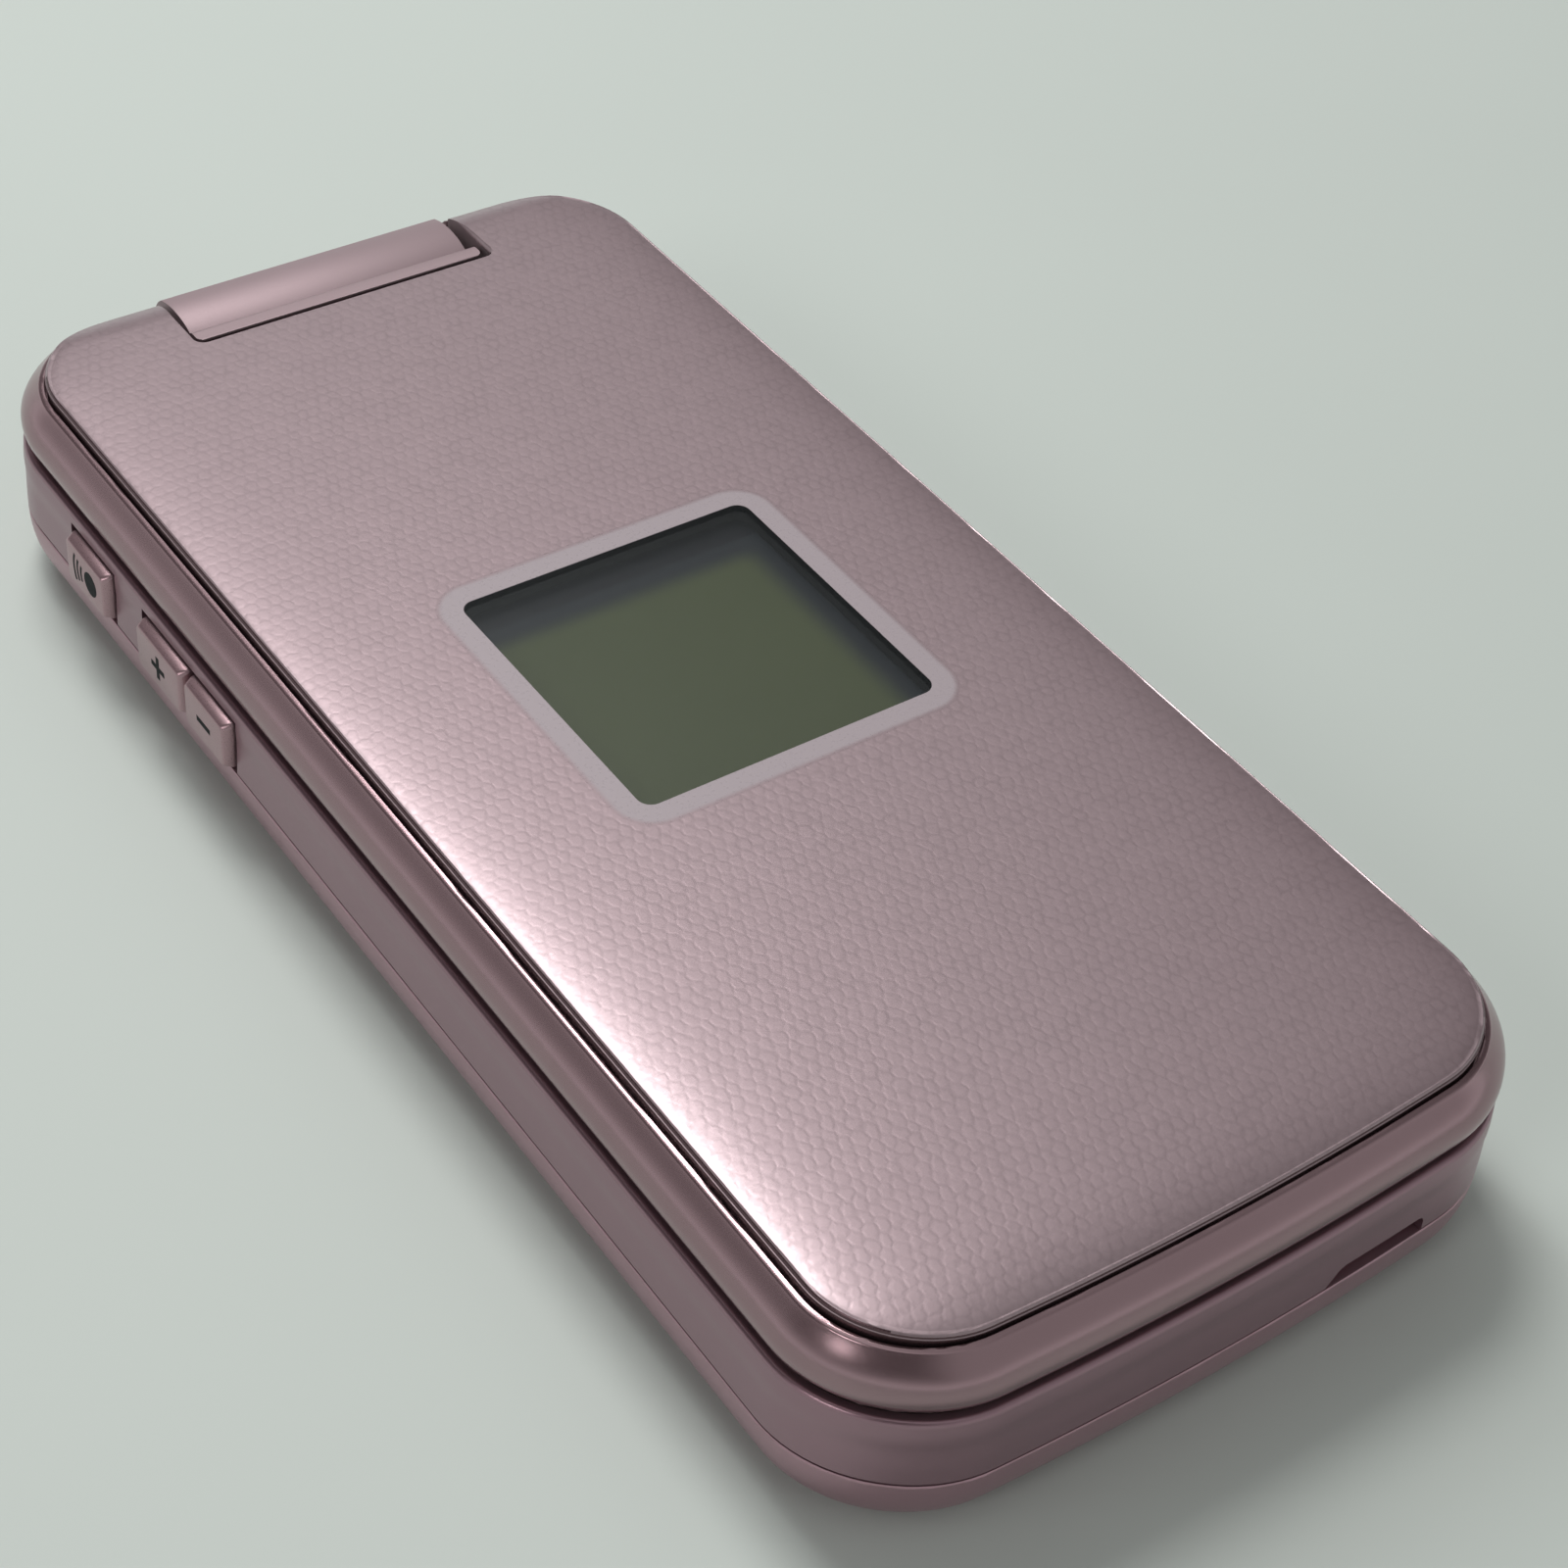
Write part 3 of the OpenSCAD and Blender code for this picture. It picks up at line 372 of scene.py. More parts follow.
def skin_normals(piece, skin):
    """Gives the faces that lie on an uncut skin the skin's own smooth normals."""
    touching, same_way = 2e-6, 0.97
    mesh = skin.data
    tree = BVHTree.FromPolygons([v.co for v in mesh.vertices], [p.vertices[:] for p in mesh.polygons])
    corner_normals = mesh.corner_normals
    normals = []
    for face in piece.data.polygons:
        for loop in face.loop_indices:
            own = piece.data.corner_normals[loop].vector.copy()
            co = piece.data.vertices[piece.data.loops[loop].vertex_index].co
            spot, _, index, away = tree.find_nearest(co)
            found = mesh.polygons[index]
            if away < touching and found.normal.dot(face.normal) > same_way:
                weights = poly_3d_calc([mesh.vertices[v].co for v in found.vertices], spot)
                smooth = Vector()
                for weight, corner in zip(weights, found.loop_indices):
                    smooth += corner_normals[corner].vector * weight
                own = smooth.normalized() if smooth.length > 0 else own
            normals.append(own)
    piece.data.normals_split_custom_set(normals)


def cut_skin(skin, name, *cutters, joined=()):
    """A piece made from a smooth skin by joining and cutting. What is left of the skin keeps its normals."""
    sharpen(skin, 40)
    piece = make_object(name, skin.data.copy())
    for other in joined:
        combine(piece, other, "UNION")
    for cutter in cutters:
        combine(piece, cutter)
    sharpen(piece, 30)
    skin_normals(piece, skin)
    discard(skin)
    return piece


def merge(name, pieces):
    """Joins pieces of one finish into one mesh."""
    mesh = bpy.data.meshes.new(name)
    with editing(mesh) as work:
        for piece in pieces:
            work.from_mesh(piece.data)
    discard(*pieces)
    return make_object(name, mesh)


def finish_piece(piece, finish, body, slot, *nodes):
    """Gives a piece its finish and its body, and hides the nodes that it stands for."""
    piece.data.materials.clear()
    piece.data.materials.append(look(finish))
    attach(piece, body)
    if nodes:
        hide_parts(*nodes)


# ---- Node trees ----

class Tree:
    """A node tree under construction. Its inputs are values or the output sockets of other nodes."""

    def __init__(self, tree):
        self.tree = tree

    def add(self, kind, inputs=(), **settings):
        node = self.tree.nodes.new(kind)
        for name, value in settings.items():
            setattr(node, name, value)
        for name, value in dict(inputs).items():
            self.put(value, node.inputs[name])
        return node

    def put(self, value, socket):
        if isinstance(value, bpy.types.NodeSocket):
            self.tree.links.new(value, socket)
        else:
            socket.default_value = (*value, 1) if socket.type == "RGBA" else value

    def math(self, operation, *values, kind="ShaderNodeMath", out="Value"):
        node = self.add(kind, operation=operation)
        for socket, value in zip(node.inputs, values):
            self.put(value, socket)
        return node.outputs[out]

    def vector(self, operation, *values):
        """A sum with vectors. A length or a dot product comes out as a number."""
        out = "Value" if operation in ("LENGTH", "DOT_PRODUCT") else "Vector"
        return self.math(operation, *values, kind="ShaderNodeVectorMath", out=out)

    def parts(self, vector):
        return self.add("ShaderNodeSeparateXYZ", {"Vector": vector}).outputs

    def ramp(self, value, low, high, from_low=0.0, from_high=1.0, smooth=False):
        """Maps a value to a range."""
        node = self.add("ShaderNodeMapRange", {"Value": value, "From Min": from_low, "From Max": from_high,
                                               "To Min": low, "To Max": high})
        if smooth:
            node.interpolation_type = "SMOOTHSTEP"
        return node.outputs["Result"]

    def blend(self, low, high, factor):
        """A colour between two colours."""
        node = self.add("ShaderNodeMix", {"A": low, "B": high, "Factor": factor}, data_type="RGBA")
        return node.outputs["Result"]


# ---- Finishes ----

class Finish(Tree):
    """A material under construction, laid out on the piece's own coordinates in metres."""

    def __init__(self, name):
        self.material = bpy.data.materials.new(name)
        self.material.use_nodes = True
        super().__init__(self.material.node_tree)
        self.tree.nodes.clear()
        self.shader = self.add("ShaderNodeBsdfPrincipled")
        self.add("ShaderNodeOutputMaterial", {"Surface": self.shader.outputs["BSDF"]})
        self.place = self.add("ShaderNodeTexCoord").outputs["Object"]

    def set(self, **values):
        """Fills the shader's inputs and gives back the material."""
        for name, value in values.items():
            self.put(value, self.shader.inputs[name.replace("_", " ")])
        return self.material

    def noise(self, size, detail=2.0, out="Fac"):
        """Even noise with spots of a size in millimetres."""
        inputs = {"Scale": 1 / (size * MM), "Detail": detail, "Vector": self.place}
        return self.add("ShaderNodeTexNoise", inputs).outputs[out]

    def bump(self, height, depth):
        """Relief of a depth in millimetres."""
        node = self.add("ShaderNodeBump", {"Strength": 1.0, "Distance": depth * MM, "Height": height})
        self.set(Normal=node.outputs["Normal"])

    def beyond(self, middle, half):
        """How far a place lies outside an upright box, along X and along Y."""
        away = self.vector("SUBTRACT", self.place, (middle[0] * MM, middle[1] * MM, 0))
        quarter = self.vector("ABSOLUTE", self.vector("MULTIPLY", away, (1, 1, 0)))
        return self.vector("SUBTRACT", quarter, (half[0] * MM, half[1] * MM, 0))


def tint(colour, factor):
    """A colour made darker or lighter."""
    return tuple(min(1.0, c * factor) for c in colour)


def metallic_paint(name, colour, roughness, metallic=0.84):
    """Satin metallic paint: fine flakes and soft cloudiness."""
    f = Finish(name)
    flakes = f.noise(bpy.context.scene.phone_finish.flake / MM, 1.0)
    f.bump(flakes, 0.0003)
    return f.set(
        Base_Color=f.blend(tint(colour, 0.93), tint(colour, 1.06), f.noise(14.0, 3.0)),
        Roughness=f.ramp(flakes, roughness - 0.05, roughness + 0.05, 0.3, 0.7), Metallic=metallic)


def hexagon_edges(f, place, width, row):
    """Nearness to the edge of a hexagonal cell, 1 at the edge and 0 at the middle."""
    half_row = math.sqrt(3) / 2
    flat = f.vector("MULTIPLY", place, (1 / width, half_row / row, 0.0))
    nearest = []
    for shift in ((0.0, 0.0, 0.0), (0.5, half_row, 0.0)):
        moved = f.vector("SUBTRACT", flat, shift)
        nearest.append(f.vector("WRAP", moved, (0.5, half_row, 0.5), (-0.5, -half_row, -0.5)))
    choice = f.math("GREATER_THAN", *[f.vector("LENGTH", away) for away in nearest])
    inside = f.add("ShaderNodeMix", {"Factor": choice, "A": nearest[0], "B": nearest[1]}, data_type="VECTOR")
    mirrored = f.vector("ABSOLUTE", inside.outputs["Result"])
    slanted = f.vector("DOT_PRODUCT", mirrored, (0.5, half_row, 0.0))
    return f.ramp(f.math("MAXIMUM", slanted, f.parts(mirrored)["X"]), 0.0, 1.0, 0.0, 0.5)


def cell_panel_paint():
    """Pearl paint over fine upright cells, divided by faint creases."""
    group = bpy.context.scene.phone_finish
    f = Finish("pearl_cells")
    wobble = 0.85 * MM
    place = f.vector("MULTIPLY_ADD", f.noise(1.1, 3.0, "Color"), (wobble, wobble, 0.0), f.place)
    edge = hexagon_edges(f, place, group.cell_width, group.cell_row)
    crease = f.ramp(edge, 0.0, 1.0, 0.45, 1.02, smooth=True)
    patches = f.ramp(f.noise(1.3), 0.0, 1.0, 0.38, 0.62)
    f.bump(f.ramp(crease, 1.0, 0.0), 0.004)
    return f.set(
        Base_Color=f.blend(group.pearl, tint(group.pearl, 0.90), f.math("MULTIPLY", crease, patches)),
        Roughness=f.ramp(f.noise(0.35), 0.33, 0.40, 0.3, 0.7),
        Metallic=0.60, Coat_Weight=0.5, Coat_Roughness=0.22)


def plain_finish(name, colour, roughness, metallic=0.0, grain=0.3, depth=0.004, shine=0.5):
    """A moulded or bare surface with a fine grain."""
    f = Finish(name)
    change = 0.04
    grains = f.noise(grain, 3.0)
    f.bump(grains, depth)
    return f.set(
        Base_Color=f.blend(tint(colour, 1 - 2 * change), tint(colour, 1 + 2 * change), grains),
        Roughness=f.ramp(grains, max(0.02, roughness - change), roughness + change, 0.3, 0.7),
        Metallic=metallic, Specular_IOR_Level=shine)


def border_finish():
    """Pale print round the outer window, which melts into the pearl paint at its outer edge."""
    group = bpy.context.scene.phone_finish
    f = Finish("window_border")
    flat = WINDOW_SIDE / 2 - WINDOW_CORNER
    away = f.vector("LENGTH", f.vector("MAXIMUM", f.beyond(WINDOW_MIDDLE, (flat, flat)), (0, 0, 0)))
    melt = f.ramp(away, 0.0, 1.0, (WINDOW_CORNER - 0.50) * MM, (WINDOW_CORNER - 0.05) * MM, smooth=True)
    return f.set(
        Base_Color=f.blend(group.border, group.pearl, melt), Metallic=f.ramp(melt, 0.10, 0.60),
        Roughness=f.ramp(f.noise(0.35), 0.26, 0.32, 0.3, 0.7), Coat_Weight=0.5, Coat_Roughness=0.22)


def clear_pane_finish():
    """Thin clear plastic that mirrors a little of its surroundings."""
    f = Finish("clear_pane")
    return f.set(Base_Color=(0.9, 0.93, 0.95), Roughness=f.ramp(f.noise(9.0), 0.05, 0.09), Metallic=1.0,
                 Alpha=0.03)


def display_finish():
    """Unlit olive display, with blue-black painted shade along its hinge side and its right side, where the
    walls of the recess shade it and mirror in it.
    """
    green = bpy.context.scene.phone_finish.glass_green
    f = Finish("display_green")
    cloud = f.noise(12.0)
    place = f.parts(f.place)
    far_side = WINDOW_MIDDLE + Vector((shape()["view_side"] / 2,) * 2)

    def out_of_painted_shade(axis, near, away):
        """Rises from 0 in the painted shade to 1 clear of it, between two distances in from a side of the
        window.
        """
        side = far_side["XY".index(axis)]
        return f.ramp(place[axis], 0.0, 1.0, (side - near) * MM, (side - away) * MM, smooth=True)

    # Painted shade and reflection: two blue-black tones where the recess walls shade the display and show in
    # it.
    painted_shade_navy = f.blend((0.002, 0.003, 0.006), (0.010, 0.013, 0.017), out_of_painted_shade("Y", 1.8, 2.1))
    olive = f.blend(tint(green, 0.94), tint(green, 1.08), cloud)
    # How far a place lies clear of the painted shade, from 0 at the two sides to 1 on the open olive.
    light = f.math("MULTIPLY", out_of_painted_shade("Y", 2.75, 4.7), out_of_painted_shade("X", 0.6, 2.9))
    return f.set(Base_Color=f.blend(painted_shade_navy, olive, light), Roughness=f.ramp(cloud, 0.35, 0.40),
                 Specular_IOR_Level=0.15)


def screen_finish():
    """Black glass, with the unlit display a little lighter inside its printed border."""
    f = Finish("screen_glass")
    low, high = span("main_window")
    beyond = f.parts(f.beyond(middle_of("main_window"), (high - low) / 2 - Vector((2.4, 3.2, 0))))
    edge = f.ramp(f.math("MAXIMUM", beyond["X"], beyond["Y"]), 1.0, 0.0, -0.02 * MM, 0.02 * MM)
    cloud = f.noise(20.0)
    lit = f.blend((0.012, 0.013, 0.018), (0.017, 0.018, 0.024), cloud)
    return f.set(Base_Color=f.blend((0.003, 0.003, 0.004), lit, edge), Roughness=f.ramp(cloud, 0.05, 0.08))


LAYERED = {"panel": cell_panel_paint, "border": border_finish, "display": display_finish,
           "pane": clear_pane_finish, "screen": screen_finish}

# Colour, or a share of the rose paint's colour; roughness; and the metallic share, where it isn't the usual.
PAINTS = {
    # Painted shade: a darker paint for the panel's wall down in the groove under the rim.
    "panel_edge": ((0.130, 0.078, 0.087), 0.30),
    "frame": (1.0, 0.22),
    "case": ((0.352, 0.226, 0.262), 0.33),
    "cover": ((0.470, 0.300, 0.345), 0.36),
    "hinge": ((0.372, 0.280, 0.300), 0.54, 0.5),
    # Painted light: the side keys get a lighter copy of the rose paint, for the light that their faces catch.
    "side_key": (1.24, 0.32, 0.78),
    "deck": (0.92, 0.36),
    "key": (1.06, 0.36, 0.7),
}

# Name, colour, roughness and what isn't usual.
PLAIN = {
    "recess": ("window_recess", (0.002, 0.003, 0.005), 0.5, {"shine": 0.2}),
    "mark": ("key_mark", (0.012, 0.013, 0.015), 0.6, {"shine": 0.12}),
    "mark_green": ("green_mark", (0.03, 0.22, 0.07), 0.6, {"shine": 0.15}),
    "mark_red": ("red_mark", (0.38, 0.03, 0.03), 0.6, {"shine": 0.15}),
    "steel": ("steel", (0.55, 0.55, 0.56), 0.32, {"metallic": 0.9, "grain": 0.6, "depth": 0.002}),
    "screw": ("black_steel", (0.10, 0.10, 0.11), 0.38, {"metallic": 0.8}),
    "film": ("polyimide_film", (0.55, 0.25, 0.05), 0.35, {}),
    "cell": ("wrapped_cell", (0.10, 0.105, 0.12), 0.4, {}),
    "gold": ("gold_plate", (0.80, 0.55, 0.20), 0.25, {"metallic": 0.9}),
    "board": ("solder_resist", (0.02, 0.12, 0.05), 0.35, {}),
    "antenna": ("antenna_plastic", (0.42, 0.36, 0.22), 0.5, {}),
    "black": ("black_plastic", (0.012, 0.012, 0.014), 0.45, {}),
    "ceramic": ("ceramic", (0.52, 0.50, 0.42), 0.5, {}),
    "lens": ("camera_glass", (0.006, 0.006, 0.01), 0.06, {"grain": 2.0, "depth": 0.0}),
    "inner": ("inner_satin", (0.022, 0.019, 0.022), 0.3, {}),
    "rubber": ("bumper_rubber", (0.02, 0.02, 0.02), 0.7, {}),
}


@functools.cache
def look(name):
    """A finish, made once."""
    if name in LAYERED:
        return LAYERED[name]()
    if name in PAINTS:
        colour, *rest = PAINTS[name]
        if not isinstance(colour, tuple):
            colour = tint(bpy.context.scene.phone_finish.rose, colour)
        return metallic_paint(name + "_rose", colour, *rest)
    title, colour, roughness, unusual = PLAIN[name]
    return plain_finish(title, colour, roughness, **unusual)


# ---- The lid ----

def smooth_limit(value, limit, width):
    """The smaller of two values, with a rounded change between them."""
    if width <= 0:
        return min(value, limit)
    h = unit(0.5 + 0.5 * (limit - value) / width)
    return mix(limit, value, h) - width * h * (1 - h)


def rolled(p, radius):
    """Keeps a point inside the round hinge end of the lid."""
    y, z = p.y - HINGE.y, p.z - HINGE.z
    if y <= 0:
        return p
    away = math.hypot(y, z)
    softness = 0.5 * unit(y / 2)
    scale = smooth_limit(away, radius, softness) / away
    return Vector((p.x, HINGE.y + y * scale, HINGE.z + z * scale))


def rolled_rings(plans):
    """Rings of the lid from outlines and their heights."""
    radius = shape()["roll_radius"]
    return [[rolled(p, radius) for p in at_height(ring, z)] for ring, z in plans]


def crown_height(inwards):
    """Height of the panel's top at a distance in from its edge."""
    s = shape()
    fall, reach = 0.11, 0.22
    crown = s["crown"] * math.exp(-inwards / s["crown_reach"])
    return PANEL_HIGH.z - crown - fall * math.exp(-inwards / reach)


def bent_down(ring, front):
    """Bends a ring of the panel down towards the free end, unless it lies near the foot of the wall."""
    drop, reach, foot, rise = 0.36, 1.8, RIM_Z + 0.12, 0.5
    return [Vector((p.x, p.y, p.z - drop * math.exp((front - p.y) / reach) * unit((p.z - foot) / rise)))
            for p in ring]


def notch_cutter(z0, z1, flare_z=FAR):
    """The room for the hinge cover: round about the hinge axis in front, wider above the flare's height."""
    radius, flare = 6.855, 0.18
    rings = []
    for z in spread(z0, z1, 24):
        drop = min(abs(z - HINGE.z), radius - 0.3)
        front = HINGE.y - math.sqrt(radius ** 2 - drop ** 2)
        out = flare * unit((z - flare_z) / 0.25) ** 2
        plan = rounded_box((-NOTCH_HALF - out, front - out), (NOTCH_HALF + out, BEHIND), 0.9, 6)
        rings.append(at_height(plan, z))
    return stack("cut", rings)


class PHONE_OT_lid_panel(bpy.types.Operator):
    """Crowned panel on top of the lid"""

    bl_idname = "phone.lid_panel"
    bl_label = "Lid panel"

    def execute(self, context):
        edge, rounding = -PANEL_GROOVE, 0.23
        wall_top = max(crown_height(rounding) - rounding, RIM_Z + 0.70)
        wall = ((0.0, PANEL_LOW.z), (0.0, RIM_Z + 0.15), (0.075, RIM_Z + 0.60), (0.065, RIM_Z + 0.65),
                (0.0, RIM_Z + 0.675), (0.0, wall_top))
        plans = [(outline(edge + out), z) for out, z in wall]
        for a in map(math.radians, spread(0, 72, 5)[1:]):
            plans.append((outline(edge - rounding * (1 - math.cos(a))), wall_top + rounding * math.sin(a)))
        for t in spread(0, 1, 26)[1:]:
            inwards = rounding + 11 * t ** 2
            plans.append((outline(edge - inwards, 0.35), crown_height(inwards)))
        rings = rolled_rings(plans)
        front = min(p.y for p in rings[0])
        skin = stack("lid_panel_skin", [bent_down(ring, front) for ring in rings])
        below, above = PANEL_LOW.z - 1, PANEL_HIGH.z + 1
        notch = notch_cutter(below, above, PANEL_HIGH.z - 0.35)
        seat = column(square_ring(WINDOW_SIDE, WINDOW_CORNER, 10), WINDOW_LOW.z - 0.05, above)
        hole = column(square_ring(shape()["view_side"] + 0.6, 1.3), below, above)
        bay = column(outline_before(HINGE.y - 7.7, -1.5), below, PANEL_HIGH.z - 1.3)
        panel = cut_skin(skin, "lid_panel_top", notch, seat, hole, bay)
        finish_piece(panel, "panel", "lid", "panel_paint", "lid_panel")
        paint_groove_shade(panel, front)
        return {"FINISHED"}


def paint_groove_shade(panel, front):
    """Gives the panel's low, steep faces down in the groove a darker paint, which is painted shade of the
    groove. Near the free end they have to be steeper.
    """
    top, end, front_end = (RIM_Z + 0.95) * MM, (HINGE.y - 2) * MM, (front + 3) * MM
    panel.data.materials.append(look("panel_edge"))
    for face in panel.data.polygons:
        steep = 0.80 if face.center.y > front_end else 0.50
        low = face.center.z < top and face.center.y < end
        face.material_index = 1 if low and abs(face.normal.z) < steep else 0


class PHONE_OT_lid_frame(bpy.types.Operator):
    """Rounded frame of the lid, with its rim and its knuckles"""

    bl_idname = "phone.lid_frame"
    bl_label = "Lid frame"

    def execute(self, context):
        profile = side_profile(shape()["side_radius"], RIM_Z - 2.52)
        skin = stack("frame_skin", rolled_rings([(outline(out), z) for out, z in profile]))
        below = FRAME_LOW.z - 1
        seat = column(outline(-0.15), RIM_Z - 1.1, RIM_Z + 2)
        bay = column(outline_before(HINGE.y - 7.655, -1.5), below, RIM_Z + 1)
        notch = notch_cutter(below, RIM_Z + 1.5)
        side = cut_skin(skin, "lid_frame_side", seat, bay, notch, joined=knuckles())
        finish_piece(side, "frame", "lid", "frame_paint", "lid_frame")
        return {"FINISHED"}


def side_profile(radius, middle_z):
    """The frame's side from its foot to its rim: round below, flatter above, with a narrow bright rim."""
    foot = -0.45
    profile = [(p.x - 0.35, p.y) for p in on_circle((foot, middle_z), radius, [-41])]
    profile += on_circle((foot, middle_z), radius, spread(-39, 0, 10))
    start, end = Vector((radius + foot, middle_z)), Vector((0.31, RIM_Z - 0.12))
    pull, lean = start + Vector((0, 0.95)), end + Vector((0.60, -0.72))
    for t in spread(0, 1, 20)[1:]:
        s = 1 - t
        profile.append(start * s ** 3 + pull * 3 * t * s ** 2 + lean * 3 * t * t * s + end * t ** 3)
    rim = ((0.275, -0.075), (0.23, -0.045), (0.08, 0.0), (-0.10, 0.035), (-0.14, 0.02), (-0.15, -0.05))
    return profile + [(out, RIM_Z + z) for out, z in rim]


def knuckles():
    """The two round ends of the lid about the hinge axis."""
    radius, end = 5.3, 24.5
    made = []
    for ends in ((-end, -NOTCH_HALF), (NOTCH_HALF, end)):
        made.append(beam(disc_ring(AXIS, radius, 96), *ends))
        combine(made[-1], column(outline(1.1), 0, FRAME_LOW.z + 6.5), "INTERSECT")
    return made


class PHONE_OT_outer_window(bpy.types.Operator):
    """Outer window: printed border, clear pane, dark recess and the display under it"""

    bl_idname = "phone.outer_window"
    bl_label = "Outer window"

    def execute(self, context):
        view = shape()["view_side"]
        top, low, display_top = PANEL_HIGH.z - 0.004, WINDOW_LOW.z, DISPLAY_HIGH.z
        border = ((WINDOW_SIDE - 0.6, 2.8, low), (WINDOW_SIDE, WINDOW_CORNER, top), (view + 0.03, 1.0, top),
                  (view, 1.0, top - 0.015), (view + 0.02, 1.0, top - 0.03), (view + 1.1, 1.6, top - 0.06),
                  (view + 1.1, 1.6, low))
        pane = ((view - 0.01, 1.0, top - 0.30), (view - 0.01, 1.0, top - 0.012))
        recess = ((view + 1.0, 1.5, display_top), (view + 1.0, 1.5, top - 0.08), (view + 0.01, 1.0, top - 0.04),
                  (view + 0.01, 1.0, display_top))
        display_side = DISPLAY_HIGH.x - DISPLAY_LOW.x
        display = ((display_side, 0.8, DISPLAY_LOW.z), (display_side, 0.8, display_top))
        for name, rows, steps, loop, finish, slot, *nodes in (
                ("outer_window_border", border, 10, True, "border", "window_clear", "sub_window"),
                ("outer_window_pane", pane, 10, False, "pane", "window_clear"),
                ("outer_window_recess", recess, 10, True, "recess", "black_plastic"),
                ("outer_display", display, 8, False, "display", "lcd", "sub_display")):
            piece = stack(name, [at_height(square_ring(side, r, steps), z) for side, r, z in rows], loop)
            sharpen(piece)
            finish_piece(piece, finish, "lid", slot, *nodes)
        return {"FINISHED"}


# ---- The base ----

def smooth_profile(stations, steps):
    """Points on a smooth curve through stations of offset and height."""
    points = []
    last = len(stations) - 1
    for i in range(last):
        p0, p1, p2, p3 = (Vector(stations[min(last, max(0, k))]) for k in range(i - 1, i + 3))
        for t in spread(0, 1, steps)[:-1]:
            points.append(0.5 * ((2 * p1) + (p2 - p0) * t + (2 * p0 - 5 * p1 + 4 * p2 - p3) * t * t
                                 + (3 * p1 - p0 - 3 * p2 + p3) * t ** 3))
    return points + [stations[-1]]


def hinge_rooms():
    """Room in the base for the two knuckles."""
    radius, floor, end = 5.75, 5.9, 24.85
    last = 360 - math.degrees(math.asin((HINGE.z - floor) / radius))
    profile = on_circle(AXIS, radius, spread(180, 270, 40) + spread(270, last, 12)[1:])
    profile += [Vector(corner) for corner in ((BEHIND, floor), (BEHIND, FAR), (HINGE.y - radius, FAR))]
    return [beam(profile, *ends) for ends in ((-end, -CASE_NOTCH_HALF), (CASE_NOTCH_HALF, end))]


class PHONE_OT_middle_case(bpy.types.Operator):
    """Middle case with the pockets of the side keys, the nail slot and the socket's opening"""

    bl_idname = "phone.middle_case"
    bl_label = "Middle case"

    def execute(self, context):
        z, top = CASE_Z, CASE_HIGH.z + 0.26
        side, inwards, rounding = 1.76, 0.36, 0.42
        stations = [(1.9, z), (1.86, z + 1.3), (1.80, z + 2.8), (1.83, z + 4.0), (side, top - rounding)]
        profile = [(1.55, z), (1.80, z + 0.03)] + smooth_profile(stations, 6)[1:]
        for a in map(math.radians, spread(0, 90, 8)[1:]):
            profile.append((side - inwards * (1 - math.cos(a)), top - rounding + rounding * math.sin(a)))
        skin = stack("case_skin", [at_height(outline(out), height) for out, height in profile])
        front, half, floor, channel_radius = HINGE.y - 7.55, CASE_NOTCH_HALF, 6.2, 5.2
        seat = column(outline_before(front, 0.95), DECK_LOW.z - 0.05, FAR)
        room = column(outline_before(front, 0.4), floor, DECK_LOW.z)
        channel = beam(disc_ring(AXIS, channel_radius, 96), -half, half)
        notch = block((-half, HINGE.y - 6.305, HINGE.z), (half, HINGE.y, FAR))
        case = cut_skin(skin, "middle_case_side", seat, room, channel, notch, *hinge_rooms(),
                        *side_key_pockets(), nail_slot(), *port_cutters())
        finish_piece(case, "case", "base", "case_paint", "middle_case")
        return {"FINISHED"}


def side_key_pockets():
    """One pocket for the voice key, and one for both volume keys."""
    pockets = []
    for first, last in (("voice_key", "voice_key"), ("volume_down_key", "volume_up_key")):
        low, high = span(first)[0].y - KEY_GAP, span(last)[1].y + KEY_GAP
        pockets.append(block((-FAR, low, CASE_Z - 1), (-25.5, high, 9.75)))
    return pockets


def port_cutters():
    """The seat of the socket's cover, and the opening behind it."""
    low, high = span("port_cover")
    usb_low, usb_high = span("usb_socket")
    return [
        block((25.5, low.y - KEY_GAP, 5.5), (FAR, high.y + KEY_GAP, 9.6)),
        block((23.0, usb_low.y - 0.3, usb_low.z - 0.2), (FAR, usb_high.y + 0.3, usb_high.z + 0.3)),
    ]


def nail_slot():
    """Slot for a fingernail above the battery cover's edge."""
    x0, x1, height = 7.2, 15.3, 1.35
    points = [(x0, -1), (x1, -1), (x1, height - 0.5), (x1 - 0.15, height - 0.17), (x1 - 0.5, height),
              (x0 + 1.5, height), (x0 + 1.0, height - 0.18), (x0, 0.15)]
    return stack("cut", [[Vector((x, y, CASE_Z + z)) for x, z in points] for y in (-BEHIND, -RIM_Y - 0.35)])


class PHONE_OT_battery_cover(bpy.types.Operator):
    """Battery cover under the phone, with the camera and loudspeaker openings"""

    bl_idname = "phone.battery_cover"
    bl_label = "Battery cover"

    def execute(self, context):
        top = COVER_HIGH.z
        stations = [(-1.9, 0.0), (-0.7, 0.25), (0.35, 0.9), (1.15, 1.75), (1.62, 2.75), (1.85, 3.9),
                    (1.9, top - 0.12)]
        profile = smooth_profile(stations, 5) + [(1.84, top - 0.02), (1.6, top)]
        skin = stack("cover_skin", [at_height(outline(out), z) for out, z in profile])
        floor, lens_radius = 1.8, 4.65
        room = column(outline(0.4), floor, FAR)
        lens = column(disc_ring(middle_of("camera_window"), lens_radius), -1, FAR)
        cover = cut_skin(skin, "battery_cover_shell", room, lens, *speaker_slots())
        finish_piece(cover, "cover", "base", "cover_paint", "battery_cover")
        return {"FINISHED"}


